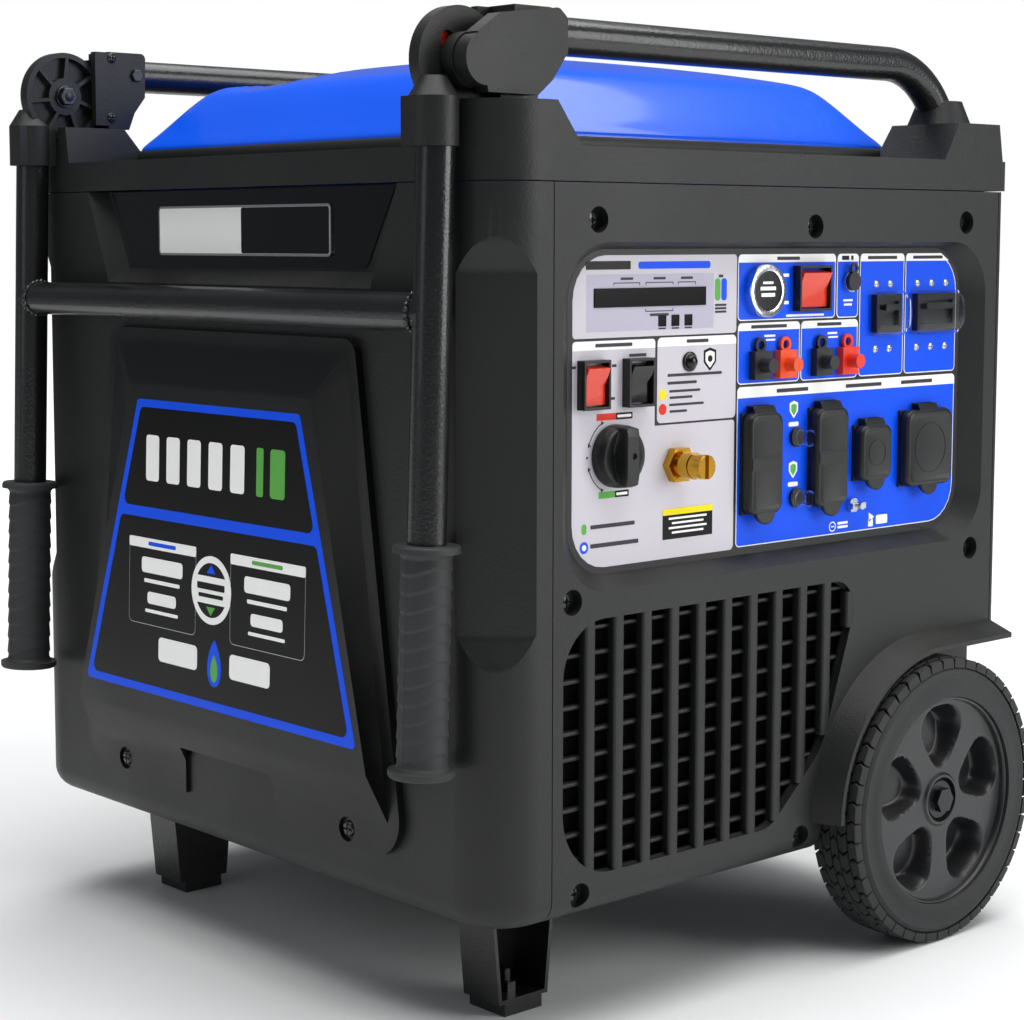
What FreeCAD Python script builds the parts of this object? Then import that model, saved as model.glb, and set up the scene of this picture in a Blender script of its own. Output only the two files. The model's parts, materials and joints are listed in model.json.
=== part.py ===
import FreeCAD, Part
import os
import re
import Sketcher

# Portable inverter generator on two wheels and two feet.
# The case is measured from its own middle: x along its length, y across it, z up from the floor.
# -y is the control side, -x is the end that the handle folds down over, +x is the wheel end.
# Every sub-part is moved by case_shift at the end, so that the origin lies under the whole
# machine's middle.

doc = FreeCAD.newDocument("portable_generator")

# ---------------------------------------------------------------- driving dimensions
DIMENSIONS = (
    ("case_shift", 19.2), ("case_end", 294), ("case_side", 314), ("case_bottom", 94),
    ("seam_height", 631), ("skin", 4), ("seam", 0.8), ("front_seam", 237.5), ("rear_seam", 286),
    ("bottom_roll", 20), ("floor_edge", 30),
    ("column_round", 45), ("column_inner_round", 70), ("rear_round", 8),
    # scallop of the front columns: legs of the chamfer, and its heights
    ("scallop_leg", 41), ("scallop_edge_leg", 26.6), ("scallop_low", 285), ("scallop_high", 592),
    ("scallop_slope", 26),
    # badge recess in the front end
    ("badge_low", 554), ("badge_top_half", 210), ("badge_low_half", 178), ("badge_inset", 12),
    ("badge_depth", 14),
    # access cover on the front end
    ("cover_flange", 6), ("cover_rise", 23.4), ("pad_lean", 1.8), ("cover_wall", 3), ("cover_top", 517),
    ("cover_base", 133), ("cover_top_half", 166), ("cover_base_half", 221), ("pad_top", 470),
    ("pad_base", 198), ("pad_top_half", 124), ("pad_base_half", 199), ("cover_border", 9),
    ("notch_half", 62), ("notch_top", 172), ("cover_screw_height", 146), ("cover_screw_y", 154),
    # control side
    ("bezel_left", 228), ("bezel_right", 270), ("bezel_low", 335), ("bezel_high", 588),
    ("bezel_round", 45), ("plate_left", 211), ("plate_right", 252), ("plate_low", 345),
    ("plate_high", 583), ("plate_round", 38), ("panel_depth", 14), ("panel_plate", 3),
    ("grille_left", 227), ("grille_low", 125), ("grille_high", 315), ("grille_right", 110),
    ("grille_bar", 11), ("grille_pitch", 29.6), ("grille_first", 199), ("fin_pitch", 19),
    ("fin_height", 5), ("screw_recess", 9.5), ("screw_head", 6.2),
    # wheels and axle
    ("wheel_x", 190.4), ("wheel_radius", 120.7), ("rim_radius", 87.75), ("tyre_inner", 296.5),
    ("tyre_outer", 344.5), ("axle_radius", 8), ("bore_gap", 0.06), ("arch_radius", 127),
    ("arch_wall", 3), ("arch_inner", 289), ("flare_out", 24), ("flare_root", 13), ("flare_lip", 4),
    ("hub_radius", 24), ("pocket_pitch_radius", 53), ("pocket_radius", 15), ("hub_face", 334),
    # feet
    ("foot_x", 193.2), ("foot_y", 215.4), ("foot_half", 20.5), ("pad_thickness", 10),
    ("bracket_top_half", 33), ("bracket_low_half", 25), ("sheet_steel", 3),
    # top cover and fuel tank
    ("rim_height", 656), ("post_height", 687), ("post_inner", 244), ("post_slope", 8),
    ("front_post_end", 234), ("front_post_foot", 194), ("rear_post_start", 228),
    ("rear_post_foot", 198), ("rear_post_end", 285), ("tank_left", 232), ("tank_right", 240), ("tank_half", 238),
    ("tank_base", 668), ("tank_bottom", 560), ("tank_sheet", 1.2), ("tank_gap", 5),
    # top rails
    ("tube_radius", 14), ("tube_wall", 1.8), ("tube_y", 272), ("rail_height", 735.6),
    ("rail_start", 246), ("rail_bend_start", 183), ("rail_bend_radius", 80),
    # handle, with the pivot of its fold
    ("pivot_x", 285), ("pivot_z", 714), ("knuckle_radius", 38), ("knuckle_inner", 258),
    ("knuckle_outer", 269), ("collar_low", 654), ("collar_high", 688), ("collar_tip", 702),
    ("collar_tip_radius", 9), ("collar_x", 312.5), ("collar_radius", 17.8), ("leg_top_x", 310.6), ("leg_tilt", 1.845),
    ("leg_length", 442), ("cross_height", 539.2), ("cross_x", 314.3), ("grip_length", 165),
    ("grip_radius", 19), ("flange_radius", 24.5), ("flange_thickness", 6), ("ear_radius", 19.5),
    ("bolt_radius", 5), ("lock_x", 297), ("lock_z", 728), ("lock_radius", 6), ("lock_travel", 4.5), ("plate_end", 259),
    # control panel fittings: centre x, centre z and sizes
    ("start_x", -1.5), ("start_z", 550.3), ("ring_radius", 20.5), ("button_radius", 15),
    ("ring_depth", 7.3), ("fuel_switch_x", -187.6), ("idle_switch_x", -141.4),
    ("small_switch_z", 485), ("small_switch_width", 27), ("main_switch_x", 54.5),
    ("main_switch_z", 551.5), ("main_switch_width", 39), ("switch_height", 36),
    ("switch_depth", 8), ("switch_wall", 2), ("rocker_gap", 0.5), ("rocker_tilt", 12),
    ("knob_x", -163.3), ("knob_z", 431.8), ("knob_radius", 23.5), ("knob_skirt", 8),
    ("knob_depth", 20), ("gas_x", -97), ("gas_z", 421), ("gas_radius", 9.3), ("gas_depth", 32),
    ("boot_z", 492.5), ("boot_half", 10), ("boot_depth", 7), ("boot_nub", 17), ("post_radius", 4),
    ("cover_depth", 12), ("outlet_plate", 2.5), ("lid_wall", 2.5), ("ground_x", 110.9),
    ("ground_z", 373.6), ("reset_x", 41), ("reset_high", 433.5), ("reset_low", 385),
    ("reset_radius", 6.8), ("reset_depth", 15.5), ("port_x", 104.3), ("port_z", 556.2),
    ("port_radius", 8.5), ("breaker_z", 529.5), ("breaker_half", 18), ("breaker_depth", 15),
    ("small_breaker_x", 149.5), ("small_breaker_width", 38), ("main_breaker_x", 213),
    ("main_breaker_width", 57),
    # inside the case
    ("shaft_y", 30), ("shaft_z", 262), ("shaft_radius", 12.5), ("rotor_radius", 88),
    ("rotor_inner", 79), ("stator_radius", 76), ("cap_x", -10), ("cap_y", 20), ("cap_radius", 28),
    ("near_gap", 0.4),
)
sheet = doc.addObject("Spreadsheet::Sheet", "Dims")
for row, (alias, value) in enumerate(DIMENSIONS, 1):
    sheet.set(f"A{row}", alias)
    sheet.set(f"B{row}", str(value))
    sheet.setAlias(f"B{row}", alias)
doc.recompute()
ALIASES = {alias for alias, _ in DIMENSIONS}
NODES = []

# ---------------------------------------------------------------- helpers
WORD = re.compile(r"[a-z][a-z_]*")
TURNS = {"x": ((0, 1, 0), 90), "y": ((1, 0, 0), -90), "z": ((0, 0, 1), 0)}
PLANES = {"xy": ("XY_Plane", (0, 0, 1), 0, "z"), "xz": ("XZ_Plane", (1, 0, 0), 90, "y"),
          "yz": ("YZ_Plane", (1, 1, 1), 120, "x")}
SIDES = {"near": -1, "far": 1}


def cells(text):
    """Expression in which each dimension's name is its cell in the sheet."""
    return WORD.sub(lambda m: "Dims." + m.group() if m.group() in ALIASES else m.group(), str(text))


def number(text):
    """Present value of an expression."""
    return float(sheet.evalExpression(cells(text)))


def bind(obj, **properties):
    """Binds properties, whose dots are written as __, to expressions."""
    for name, text in properties.items():
        obj.setExpression(name.replace("__", "."), cells(text))
    return obj


def put(obj, x=0, y=0, z=0):
    """Binds an object's position."""
    return bind(obj, Placement__Base__x=x, Placement__Base__y=y, Placement__Base__z=z)


def turn(obj, axis, angle):
    """Turns an object about a direction through its own base point."""
    obj.Placement = FreeCAD.Placement(obj.Placement.Base, FreeCAD.Rotation(FreeCAD.Vector(*axis), angle))
    return obj


def box(name, x, y, z):
    """Box between a low and a high bound on each axis."""
    obj = doc.addObject("Part::Box", name)
    bind(obj, Length=f"({x[1]}) - ({x[0]})", Width=f"({y[1]}) - ({y[0]})", Height=f"({z[1]}) - ({z[0]})")
    return put(obj, x[0], y[0], z[0])


def block(name, x, width, y, z, height):
    """Box given by its middle and its width in x, its bounds in y, and its middle and height in z."""
    return box(name, (f"{x} - ({width})/2", f"{x} + ({width})/2"), y,
               (f"{z} - ({height})/2", f"{z} + ({height})/2"))


def rod(name, axis, radius, start, length):
    """Cylinder from a start point along +x, +y or +z."""
    obj = turn(doc.addObject("Part::Cylinder", name), *TURNS[axis])
    bind(obj, Radius=radius, Height=length)
    return put(obj, *start)


def cone(name, axis, low_radius, high_radius, start, length):
    """Cone from a start point along +x, +y or +z."""
    obj = turn(doc.addObject("Part::Cone", name), *TURNS[axis])
    bind(obj, Radius1=low_radius, Radius2=high_radius, Height=length)
    return put(obj, *start)


def disc(name, radius, x, z, y):
    """Cylinder across the case, between two bounds in y."""
    return rod(name, "y", radius, (x, y[0], z), f"({y[1]}) - ({y[0]})")


def hexagon(name, radius, x, z, y):
    """Six-sided prism across the case, between two bounds in y."""
    obj = turn(doc.addObject("Part::Prism", name), *TURNS["y"])
    bind(obj, Circumradius=radius, Height=f"({y[1]}) - ({y[0]})")
    return put(obj, x, y[0], z)


def fuse(name, *parts):
    obj = doc.addObject("Part::MultiFuse", name)
    obj.Shapes = list(parts)
    obj.Refine = True
    return obj


def group(name, *parts):
    obj = doc.addObject("Part::Compound", name)
    obj.Links = list(parts)
    return obj


def common(name, base, tool):
    obj = doc.addObject("Part::Common", name)
    obj.Base, obj.Tool = base, tool
    return obj


def cut(name, base, *tools):
    obj = doc.addObject("Part::Cut", name)
    obj.Base = base
    obj.Tool = tools[0] if len(tools) == 1 else group(name + "_tools", *tools)
    return obj


def mirrored(name, source):
    """The same piece on the other side of the case's middle plane y = 0."""
    obj = doc.addObject("Part::Mirroring", name)
    obj.Source = source
    obj.Normal = (0, 1, 0)
    return obj


def both_sides(name, source):
    return group(name, source, mirrored(name + "_mirror", source))


def sketch_on(owner, name, plane, level):
    """Empty sketch on a plane at a level, in a body or free in the document."""
    role, axis, angle, letter = PLANES[plane]
    if owner is None:
        sketch = turn(doc.addObject("Sketcher::SketchObject", name), axis, angle)
        return bind(sketch, **{f"Placement__Base__{letter}": level})
    sketch = owner.newObject("Sketcher::SketchObject", name)
    datum = next(item for item in owner.Origin.OriginFeatures if item.Role == role)
    sketch.AttachmentSupport = [(datum, "")]
    sketch.MapMode = "FlatFace"
    away = "-1" if plane == "xz" else "1"
    return bind(sketch, AttachmentOffset__Base__z=f"{away}*({level})")


def hold(sketch, geo, pos, point):
    """Fixes one point of a sketch with two bound distances from its origin."""
    for kind, text in zip(("DistanceX", "DistanceY"), point):
        index = sketch.addConstraint(Sketcher.Constraint(kind, -1, 1, geo, pos, number(text)))
        sketch.setExpression(f"Constraints[{index}]", cells(text))


def polygon(owner, name, plane, level, points):
    """Sketch of a closed outline whose corners are bound."""
    sketch = sketch_on(owner, name, plane, level)
    spots = [FreeCAD.Vector(number(a), number(b), 0) for a, b in points]
    count = len(spots)
    for i in range(count):
        sketch.addGeometry(Part.LineSegment(spots[i], spots[(i + 1) % count]))
    for i in range(count):
        sketch.addConstraint(Sketcher.Constraint("Coincident", i, 2, (i + 1) % count, 1))
    for i, point in enumerate(points):
        hold(sketch, i, 1, point)
    return sketch


def rounded_outline(name, plane, level, left, right, low, high, radius):
    """Sketch of a rectangle with four equal round corners."""
    sketch = sketch_on(None, name, plane, level)
    x0, x1, z0, z1, r = (number(text) for text in (left, right, low, high, radius))
    quarter = 90
    corners = ((x1 - r, z1 - r, 0), (x0 + r, z1 - r, 1), (x0 + r, z0 + r, 2), (x1 - r, z0 + r, 3))
    for cx, cz, step in corners:
        circle = Part.Circle(FreeCAD.Vector(cx, cz, 0), FreeCAD.Vector(0, 0, 1), r)
        start = FreeCAD.Units.Quantity(step * quarter, "deg").getValueAs("rad").Value
        end = FreeCAD.Units.Quantity((step + 1) * quarter, "deg").getValueAs("rad").Value
        sketch.addGeometry(Part.ArcOfCircle(circle, start, end))
    for i in range(4):
        start = sketch.getPoint(i, 2)
        end = sketch.getPoint((i + 1) % 4, 1)
        sketch.addGeometry(Part.LineSegment(start, end))
    for i in range(4):
        sketch.addConstraint(Sketcher.Constraint("Tangent", i, 2, 4 + i, 1))
        sketch.addConstraint(Sketcher.Constraint("Tangent", 4 + i, 2, (i + 1) % 4, 1))
    centres = ((f"{right} - {radius}", f"{high} - {radius}"), (f"{left} + {radius}", f"{high} - {radius}"),
               (f"{left} + {radius}", f"{low} + {radius}"), (f"{right} - {radius}", f"{low} + {radius}"))
    for i, centre in enumerate(centres):
        hold(sketch, i, 3, centre)
    index = sketch.addConstraint(Sketcher.Constraint("Radius", 0, r))
    sketch.setExpression(f"Constraints[{index}]", cells(radius))
    return sketch


def prism(name, plane, low, high, points, rounds=None):
    """Body padded between two levels from a bound outline, with some upright corners rounded.

    rounds is {radius: [numbers of the outline's corners]}.
    """
    body = doc.addObject("PartDesign::Body", name)
    level = high if plane == "xz" else low
    profile = polygon(body, name + "_outline", plane, level, points)
    pad = body.newObject("PartDesign::Pad", name + "_pad")
    pad.Profile = profile
    bind(pad, Length=f"({high}) - ({low})")
    doc.recompute()
    for radius, corners in (rounds or {}).items():
        base = body.Tip
        spots = [(number(points[i][0]), number(points[i][1])) for i in corners]
        fillet = body.newObject("PartDesign::Fillet", f"{name}_round_{corners[0]}")
        fillet.Base = (base, upright_edges(base.Shape, plane, spots))
        bind(fillet, Radius=radius)
        doc.recompute()
    return body


def upright_edges(shape, plane, spots):
    """Names of the edges that stand on the given points of a plane."""
    near = 0.01
    flat = {"xy": lambda v: (v.X, v.Y), "xz": lambda v: (v.X, v.Z), "yz": lambda v: (v.Y, v.Z)}[plane]
    names = []
    for i, edge in enumerate(shape.Edges, 1):
        ends = [flat(vertex) for vertex in edge.Vertexes]
        if len(ends) == 2 and any(all(abs(e[0] - s[0]) < near and abs(e[1] - s[1]) < near for e in ends)
                                  for s in spots):
            names.append(f"Edge{i}")
    return names


def loft(name, *sections):
    obj = doc.addObject("Part::Loft", name)
    obj.Sections = list(sections)
    obj.Solid = True
    obj.Ruled = True
    return obj


def rectangle(x0, x1, y0, y1):
    return ((x0, y0), (x1, y0), (x1, y1), (x0, y1))


def node(label, obj):
    """Labels a sub-part, and moves it from the case's middle to the whole machine's middle."""
    held = {path.lstrip("."): text for path, text in obj.ExpressionEngine}.get("Placement.Base.x", "0")
    obj.setExpression("Placement.Base.x", f"({held}) + Dims.case_shift")
    obj.Label = label
    NODES.append(obj)
    return obj


# ---------------------------------------------------------------- case
def case_block(name, low, high, inset="0", front_round="column_round", x1="rear_seam", roll=None):
    """The case's plan outline, inset and padded between two heights, with round front columns.

    roll is the radius that its bottom edges are rolled under with, apart from the edge at x1.
    """
    x0, y1 = f"-case_end + {inset}", f"case_side - ({inset})"
    body = prism(name, "xy", low, high, rectangle(x0, x1, f"-({y1})", y1), {front_round: (0, 3)})
    if roll:
        base = body.Tip
        fillet = body.newObject("PartDesign::Fillet", name + "_roll")
        fillet.Base = (base, bottom_edges(base.Shape, number(low), number(x1)))
        bind(fillet, Radius=roll)
        doc.recompute()
    return body


def bottom_edges(shape, level, open_end):
    """Names of the edges around a shape's bottom face, apart from the one at its open end."""
    near = 0.01
    names = []
    for i, edge in enumerate(shape.Edges, 1):
        low = all(abs(vertex.Z - level) < near for vertex in edge.Vertexes)
        if low and not all(abs(vertex.X - open_end) < near for vertex in edge.Vertexes):
            names.append(f"Edge{i}")
    return names


def scallop(name):
    """Wedge that flattens a front column over the length that the handle's leg hangs beside."""
    levels = (("scallop_low", "scallop_edge_leg"), ("scallop_low + scallop_slope", "scallop_leg"),
              ("scallop_high - scallop_slope", "scallop_leg"), ("scallop_high", "scallop_edge_leg"))
    out = "case_end + 1", "case_side + 1"
    sections = []
    for i, (level, leg) in enumerate(levels):
        corners = ((f"-({out[0]})", f"-({out[1]})"), (f"-({out[0]}) + {leg} + 2", f"-({out[1]})"),
                   (f"-({out[0]})", f"-({out[1]}) + {leg} + 2"))
        sections.append(polygon(None, f"{name}_{i}", "xy", level, corners))
    return loft(name, *sections)


def front_shell():
    top = "seam_height - seam"
    outer = case_block("front_outer", "case_bottom", top, x1="-front_seam - seam/2", roll="bottom_roll")
    inner = case_block("front_inner", "case_bottom + skin", "seam_height", "skin", "column_inner_round",
                       "-front_seam + column_inner_round", "bottom_roll - skin")
    floor_room = box("front_floor_room", ("-case_end + floor_edge", "0"),
                     ("-case_side + floor_edge", "case_side - floor_edge"), ("0", "case_bottom + skin + 1"))
    backing = box("badge_backing", ("-case_end + skin", "-case_end + badge_depth + skin"),
                  ("-badge_top_half - skin", "badge_top_half + skin"), ("badge_low - skin", top))
    wedge = scallop("column_scallop")
    rim = trapezoid("badge_rim", "-case_end - 0.1", "badge_low", "badge_low_half", "seam_height",
                    "badge_top_half")
    floor = trapezoid("badge_floor", "-case_end + badge_depth", "badge_low + badge_inset",
                      "badge_low_half - badge_inset", "seam_height", "badge_top_half - badge_inset")
    shell = cut("front_hollow", outer, inner, floor_room)
    return node("front_shell", cut("front_shell_cut", fuse("front_walls", shell, backing),
                                   loft("badge_recess", rim, floor), both_sides("scallops", wedge)))


def trapezoid(name, level, low, low_half, high, high_half, lean=None):
    """Outline across the front end with its own half width at the bottom and at the top.

    lean is an angle that the outline's top is tipped back by, about its low edge.
    """
    points = ((f"-({low_half})", low), (low_half, low), (high_half, high), (f"-({high_half})", high))
    sketch = polygon(None, name, "yz", level, points)
    if lean:
        tip = FreeCAD.Rotation(FreeCAD.Vector(0, 1, 0), number(lean))
        sketch.Placement.Rotation = tip.multiply(sketch.Placement.Rotation)
        bind(sketch, Placement__Base__x=f"{level} - ({low})*sin({lean} * 1 deg)",
             Placement__Base__z=f"({low})*(1 - cos({lean} * 1 deg))")
    return sketch


def access_cover():
    face, rise = "-case_end", "cover_rise"
    border = "cover_border"
    flange = prism("cover_flange_plate", "yz", f"{face} - cover_flange", face,
                   (("-cover_base_half", "cover_base"), ("cover_base_half", "cover_base"),
                    ("cover_top_half", "cover_top"), ("-cover_top_half", "cover_top")),
                   {"30": (0, 1), "14": (2, 3)})
    shapes = {"outer": "0", "inner": "cover_wall"}
    lofts = {}
    for key, wall in shapes.items():
        foot = trapezoid(f"cover_foot_{key}", f"{face} - cover_flange + {wall}",
                         f"cover_base + 3*{border} + {wall}", f"cover_base_half - 2*{border} - {wall}",
                         f"cover_top - {border} - {wall}", f"cover_top_half - {border} - {wall}")
        crown = trapezoid(f"cover_crown_{key}", f"{face} - {rise} + {wall}", f"pad_base + {wall}",
                          f"pad_base_half - {wall}", f"pad_top - {wall}", f"pad_top_half - {wall}",
                          "pad_lean")
        lofts[key] = loft(f"cover_{key}", foot, crown)
    hollow = box("cover_hollow", (f"{face} - cover_flange", f"{face}"),
                 ("-cover_top_half + 2*cover_border", "cover_top_half - 2*cover_border"),
                 ("cover_base + 4*cover_border", "cover_top - 3*cover_border"))
    notch = box("cover_notch", (f"{face} - {rise}", f"{face} - cover_flange/2"),
                ("-notch_half", "notch_half"), ("cover_base - 1", "notch_top"))
    screws = both_sides("cover_screw_holes", rod("cover_screw_hole", "x", "screw_recess",
                                                 (f"{face} - {rise}", "-cover_screw_y", "cover_screw_height"),
                                                 f"{rise} - cover_flange/2"))
    shell = fuse("cover_shell", flange, lofts["outer"])
    return node("access_cover", cut("access_cover_cut", shell, lofts["inner"], hollow, notch, screws))


def arch_solid(name, radius, y, end="case_end + 30"):
    """The space of a wheel arch: round over the wheel's front half, flat towards the rear."""
    low = "case_bottom - 10"
    return fuse(name, disc(name + "_round", radius, "wheel_x", "wheel_radius", y),
                box(name + "_rear", ("wheel_x", end), y, (low, f"wheel_radius + {radius}")),
                box(name + "_front", (f"wheel_x - ({radius})", "wheel_x"), y, (low, "wheel_radius")))


def wheel_flare(name):
    """Lip that stands out of the side over the wheel and thins towards its edge."""
    root, lip = "arch_radius + flare_root", "arch_radius + flare_lip"
    y = ("-case_side - flare_out", "-case_side")
    bow = cone(name + "_bow", "y", lip, root, ("wheel_x", y[0], "wheel_radius"), "flare_out")
    upper = common(name + "_upper", bow, box(name + "_half", ("wheel_x - 2*arch_radius", "wheel_x"), y,
                                             ("wheel_radius", "3*arch_radius")))
    rear = prism(name + "_rear", "yz", "wheel_x", "rear_seam",
                 ((y[0], f"wheel_radius + {lip}"), (y[0], "wheel_radius"), (y[1], "wheel_radius"),
                  (y[1], f"wheel_radius + {root}")))
    return fuse(name, upper, rear)


def side_wall(name):
    """Side panel with its wheel house and flare, before its openings, on the control side."""
    face, inside, edge = "-case_side", "-case_side + skin", "-case_side + floor_edge - 1"
    low, top = "case_bottom", "seam_height - seam"
    wall = prism(name + "_skin", "yz", "-front_seam + seam/2", "rear_seam - seam",
                 ((face, top), (face, low), (edge, low), (edge, f"{low} + skin"), (inside, f"{low} + skin"),
                  (inside, top)), {"bottom_roll": (1,), "bottom_roll - skin": (4,)})
    house_y = ("-case_side + 1", "-arch_inner + arch_wall")
    house = common(name + "_house", arch_solid(name + "_house_outer", "arch_radius + arch_wall", house_y),
                   rolled_limit(name + "_house_limit", "0", "rear_seam - seam"))
    space = arch_solid(name + "_space", "arch_radius", ("-case_side - 2*flare_out", "-arch_inner"))
    axle_hole = disc(name + "_axle_hole", "axle_radius + 1", "wheel_x", "wheel_radius",
                     ("-arch_inner - 1", "-arch_inner + 2*arch_wall"))
    return fuse(name, wall, house, wheel_flare(name + "_flare")), [space, axle_hole]


def rolled_limit(name, start, end):
    """Space just inside the control side's face, rolled under at the bottom as the face is."""
    face, edge = "-case_side + 1", "-arch_inner + 2*arch_wall"
    return prism(name, "yz", start, end, ((face, "seam_height"), (face, "case_bottom + 1"),
                                          (edge, "case_bottom + 1"), (edge, "seam_height")), {"bottom_roll - 1": (1,)})


def grille_shape(name, low, high):
    """Outline of the air intake, narrower at the bottom where the wheel arch is."""
    points = (("-grille_left", "grille_low"), ("0", "grille_low"), ("63", "180"),
              ("grille_right", "grille_high"), ("-grille_left", "grille_high"))
    return prism(name, "xz", low, high, points, {"50": (0,), "28": (1,), "60": (2,), "24": (3,), "42": (4,)})


SCREW_SPOTS = (("-193.6", "604"), ("45", "600"), ("241", "604"), ("-218", "330"), ("256", "326"),
               ("-209", "112"), ("38", "111"))


def control_side_panel():
    face = "-case_side"
    wall, tools = side_wall("control_wall")
    mouth = rounded_outline("bezel_mouth", "xz", f"{face} - 0.1", "-bezel_left", "bezel_right",
                            "bezel_low", "bezel_high", "bezel_round")
    throat = rounded_outline("bezel_throat", "xz", f"{face} + panel_depth", "-plate_left", "plate_right",
                             "plate_low", "plate_high", "plate_round")
    backing = box("bezel_backing", ("-bezel_left - skin", "bezel_right + skin"),
                  (f"{face} + 1", f"{face} + panel_depth"), ("bezel_low - skin", "bezel_high + skin"))
    cups = [disc(f"screw_cup_{i}", "screw_recess + 2", x, z, (f"{face} + 1", f"{face} + 12"))
            for i, (x, z) in enumerate(SCREW_SPOTS)]
    holes = [disc(f"screw_hole_{i}", "screw_recess", x, z, (f"{face} - 1", f"{face} + 9"))
             for i, (x, z) in enumerate(SCREW_SPOTS)]
    opening = grille_shape("grille_opening", f"{face} - 1", f"{face} + skin + 1")
    whole = fuse("control_whole", wall, backing,
                 common("screw_cups", fuse("screw_cups_whole", *cups),
                        rolled_limit("screw_cup_limit", "-front_seam + seam", "rear_seam - 2*seam")))
    return node("control_side_panel", cut("control_side_cut", whole, loft("bezel_space", mouth, throat),
                                          opening, *holes, *tools))


def intake_grille():
    front, back = "-case_side", "-case_side + skin"
    border = box("grille_border", ("-grille_left - 8", "grille_right + 6"), (back, f"{back} + 3"),
                 ("grille_low - 5", "grille_high + 3"))
    window = grille_shape("grille_window", front, f"{back} + 4")
    bars = [block(f"grille_bar_{i}", f"-grille_first + {i}*grille_pitch", "grille_bar",
                  (front, f"{back} + 6"), "220", "240") for i in range(11)]
    fins = [box(f"grille_fin_{i}", ("-grille_left - 2", "grille_right + 2"), (f"{back} + 1", f"{back} + 9"),
                (f"grille_low + 10 + {i}*fin_pitch", f"grille_low + 10 + {i}*fin_pitch + fin_height"))
            for i in range(10)]
    limit = grille_shape("grille_limit", front, f"{back} + 9")
    lattice = common("grille_lattice", fuse("grille_bars", *bars, *fins), limit)
    wheel_room = arch_solid("grille_wheel_room", "arch_radius + arch_wall + 1", (f"{front} - 1", f"{back} + 9"))
    screw_room = [disc(f"grille_screw_room_{i}", "screw_recess + 3", x, z, (f"{front} - 1", f"{back} + 4"))
                  for i, (x, z) in enumerate(SCREW_SPOTS[-2:])]
    return node("intake_grille", fuse("intake_grille_fuse",
                                      cut("grille_frame", border, window, wheel_room, *screw_room), lattice))


def far_side_panel():
    face = "-case_side"
    wall, tools = side_wall("far_wall")
    slots = [box(f"louvre_{i}", ("-190", "20"), (f"{face} - 1", f"{face} + skin + 1"),
                 (f"150 + {i}*fin_pitch", f"150 + {i}*fin_pitch + 2*fin_height")) for i in range(8)]
    return node("far_side_panel", mirrored("far_side_turned", cut("far_side_cut", wall, *slots, *tools)))


def rear_panel():
    top = "seam_height - seam"
    plate = prism("rear_plate", "xy", "case_bottom", top,
                  rectangle("rear_seam", "case_end", "-case_side", "case_side"), {"rear_round - 1": (1, 2)})
    wheel_room = both_sides("rear_wheel_room", box("rear_corner", ("rear_seam - 1", "case_end + 1"),
                                                  ("-case_side - 1", "-arch_inner + arch_wall"),
                                                  ("case_bottom - 1", "wheel_radius + arch_radius + 3")))
    outlet = rod("exhaust_hole", "x", "24", ("rear_seam - 1", "110", "340"), "20")
    vents = [box(f"rear_vent_{i}", ("rear_seam - 1", "case_end + 1"), ("-150", "30"),
                 (f"400 + {i}*fin_pitch", f"400 + {i}*fin_pitch + 2*fin_height")) for i in range(7)]
    return node("rear_panel", cut("rear_panel_cut", plate, wheel_room, outlet, *vents))


def post(name, x_top, x_foot, side):
    """Corner post of the top cover, with sloping flanks."""
    inner, outer = "post_inner", "case_side"
    y = {"near": (f"-({outer})", f"-({inner})"), "far": (inner, outer)}[side]
    y_foot = {"near": (y[0], f"{y[1]} + post_slope"), "far": (f"{y[0]} - post_slope", y[1])}[side]
    foot = polygon(None, name + "_foot", "xy", "seam_height + skin", rectangle(*x_foot, *y_foot))
    top = polygon(None, name + "_top", "xy", "post_height", rectangle(*x_top, *y))
    return loft(name, foot, top)


def top_cover():
    low = "seam_height"
    slab = case_block("cover_slab", low, "rim_height", x1="case_end")
    hollow = case_block("cover_hollow_block", f"{low} - 1", "rim_height - skin", "skin", x1="case_end - skin")
    mouth = prism("tank_mouth", "xy", low, "rim_height + 1",
                  rectangle("-tank_left - tank_gap", "tank_right + tank_gap", "-tank_half - tank_gap",
                            "tank_half + tank_gap"), {"30": (0, 1, 2, 3)})
    posts = []
    for side in SIDES:
        posts.append(post(f"front_post_{side}", ("-case_end", "-front_post_end"),
                          ("-case_end", "-front_post_foot"), side))
        posts.append(post(f"rear_post_{side}", ("rear_post_start", "rear_post_end"),
                          ("rear_post_foot", "case_end"), side))
    limit = case_block("post_limit", low, "post_height", x1="case_end")
    trimmed = common("posts_trimmed", fuse("posts", *posts), limit)
    shell = cut("cover_tray", slab, hollow)
    knuckle_room = disc("knuckle_room", "knuckle_radius + 1.5", "-pivot_x", "pivot_z",
                        ("-knuckle_outer - 1.5", "-knuckle_inner + 1.5"))
    return node("top_cover", cut("top_cover_cut", fuse("cover_and_posts", shell, trimmed), mouth,
                                 both_sides("knuckle_rooms", knuckle_room)))


def tank_section(name, level, inset, half_inset):
    return rounded_outline(name, "xy", level, f"-tank_left + ({inset})", f"tank_right - ({inset})",
                           f"-tank_half + ({half_inset})", f"tank_half - ({half_inset})", "26")


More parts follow.
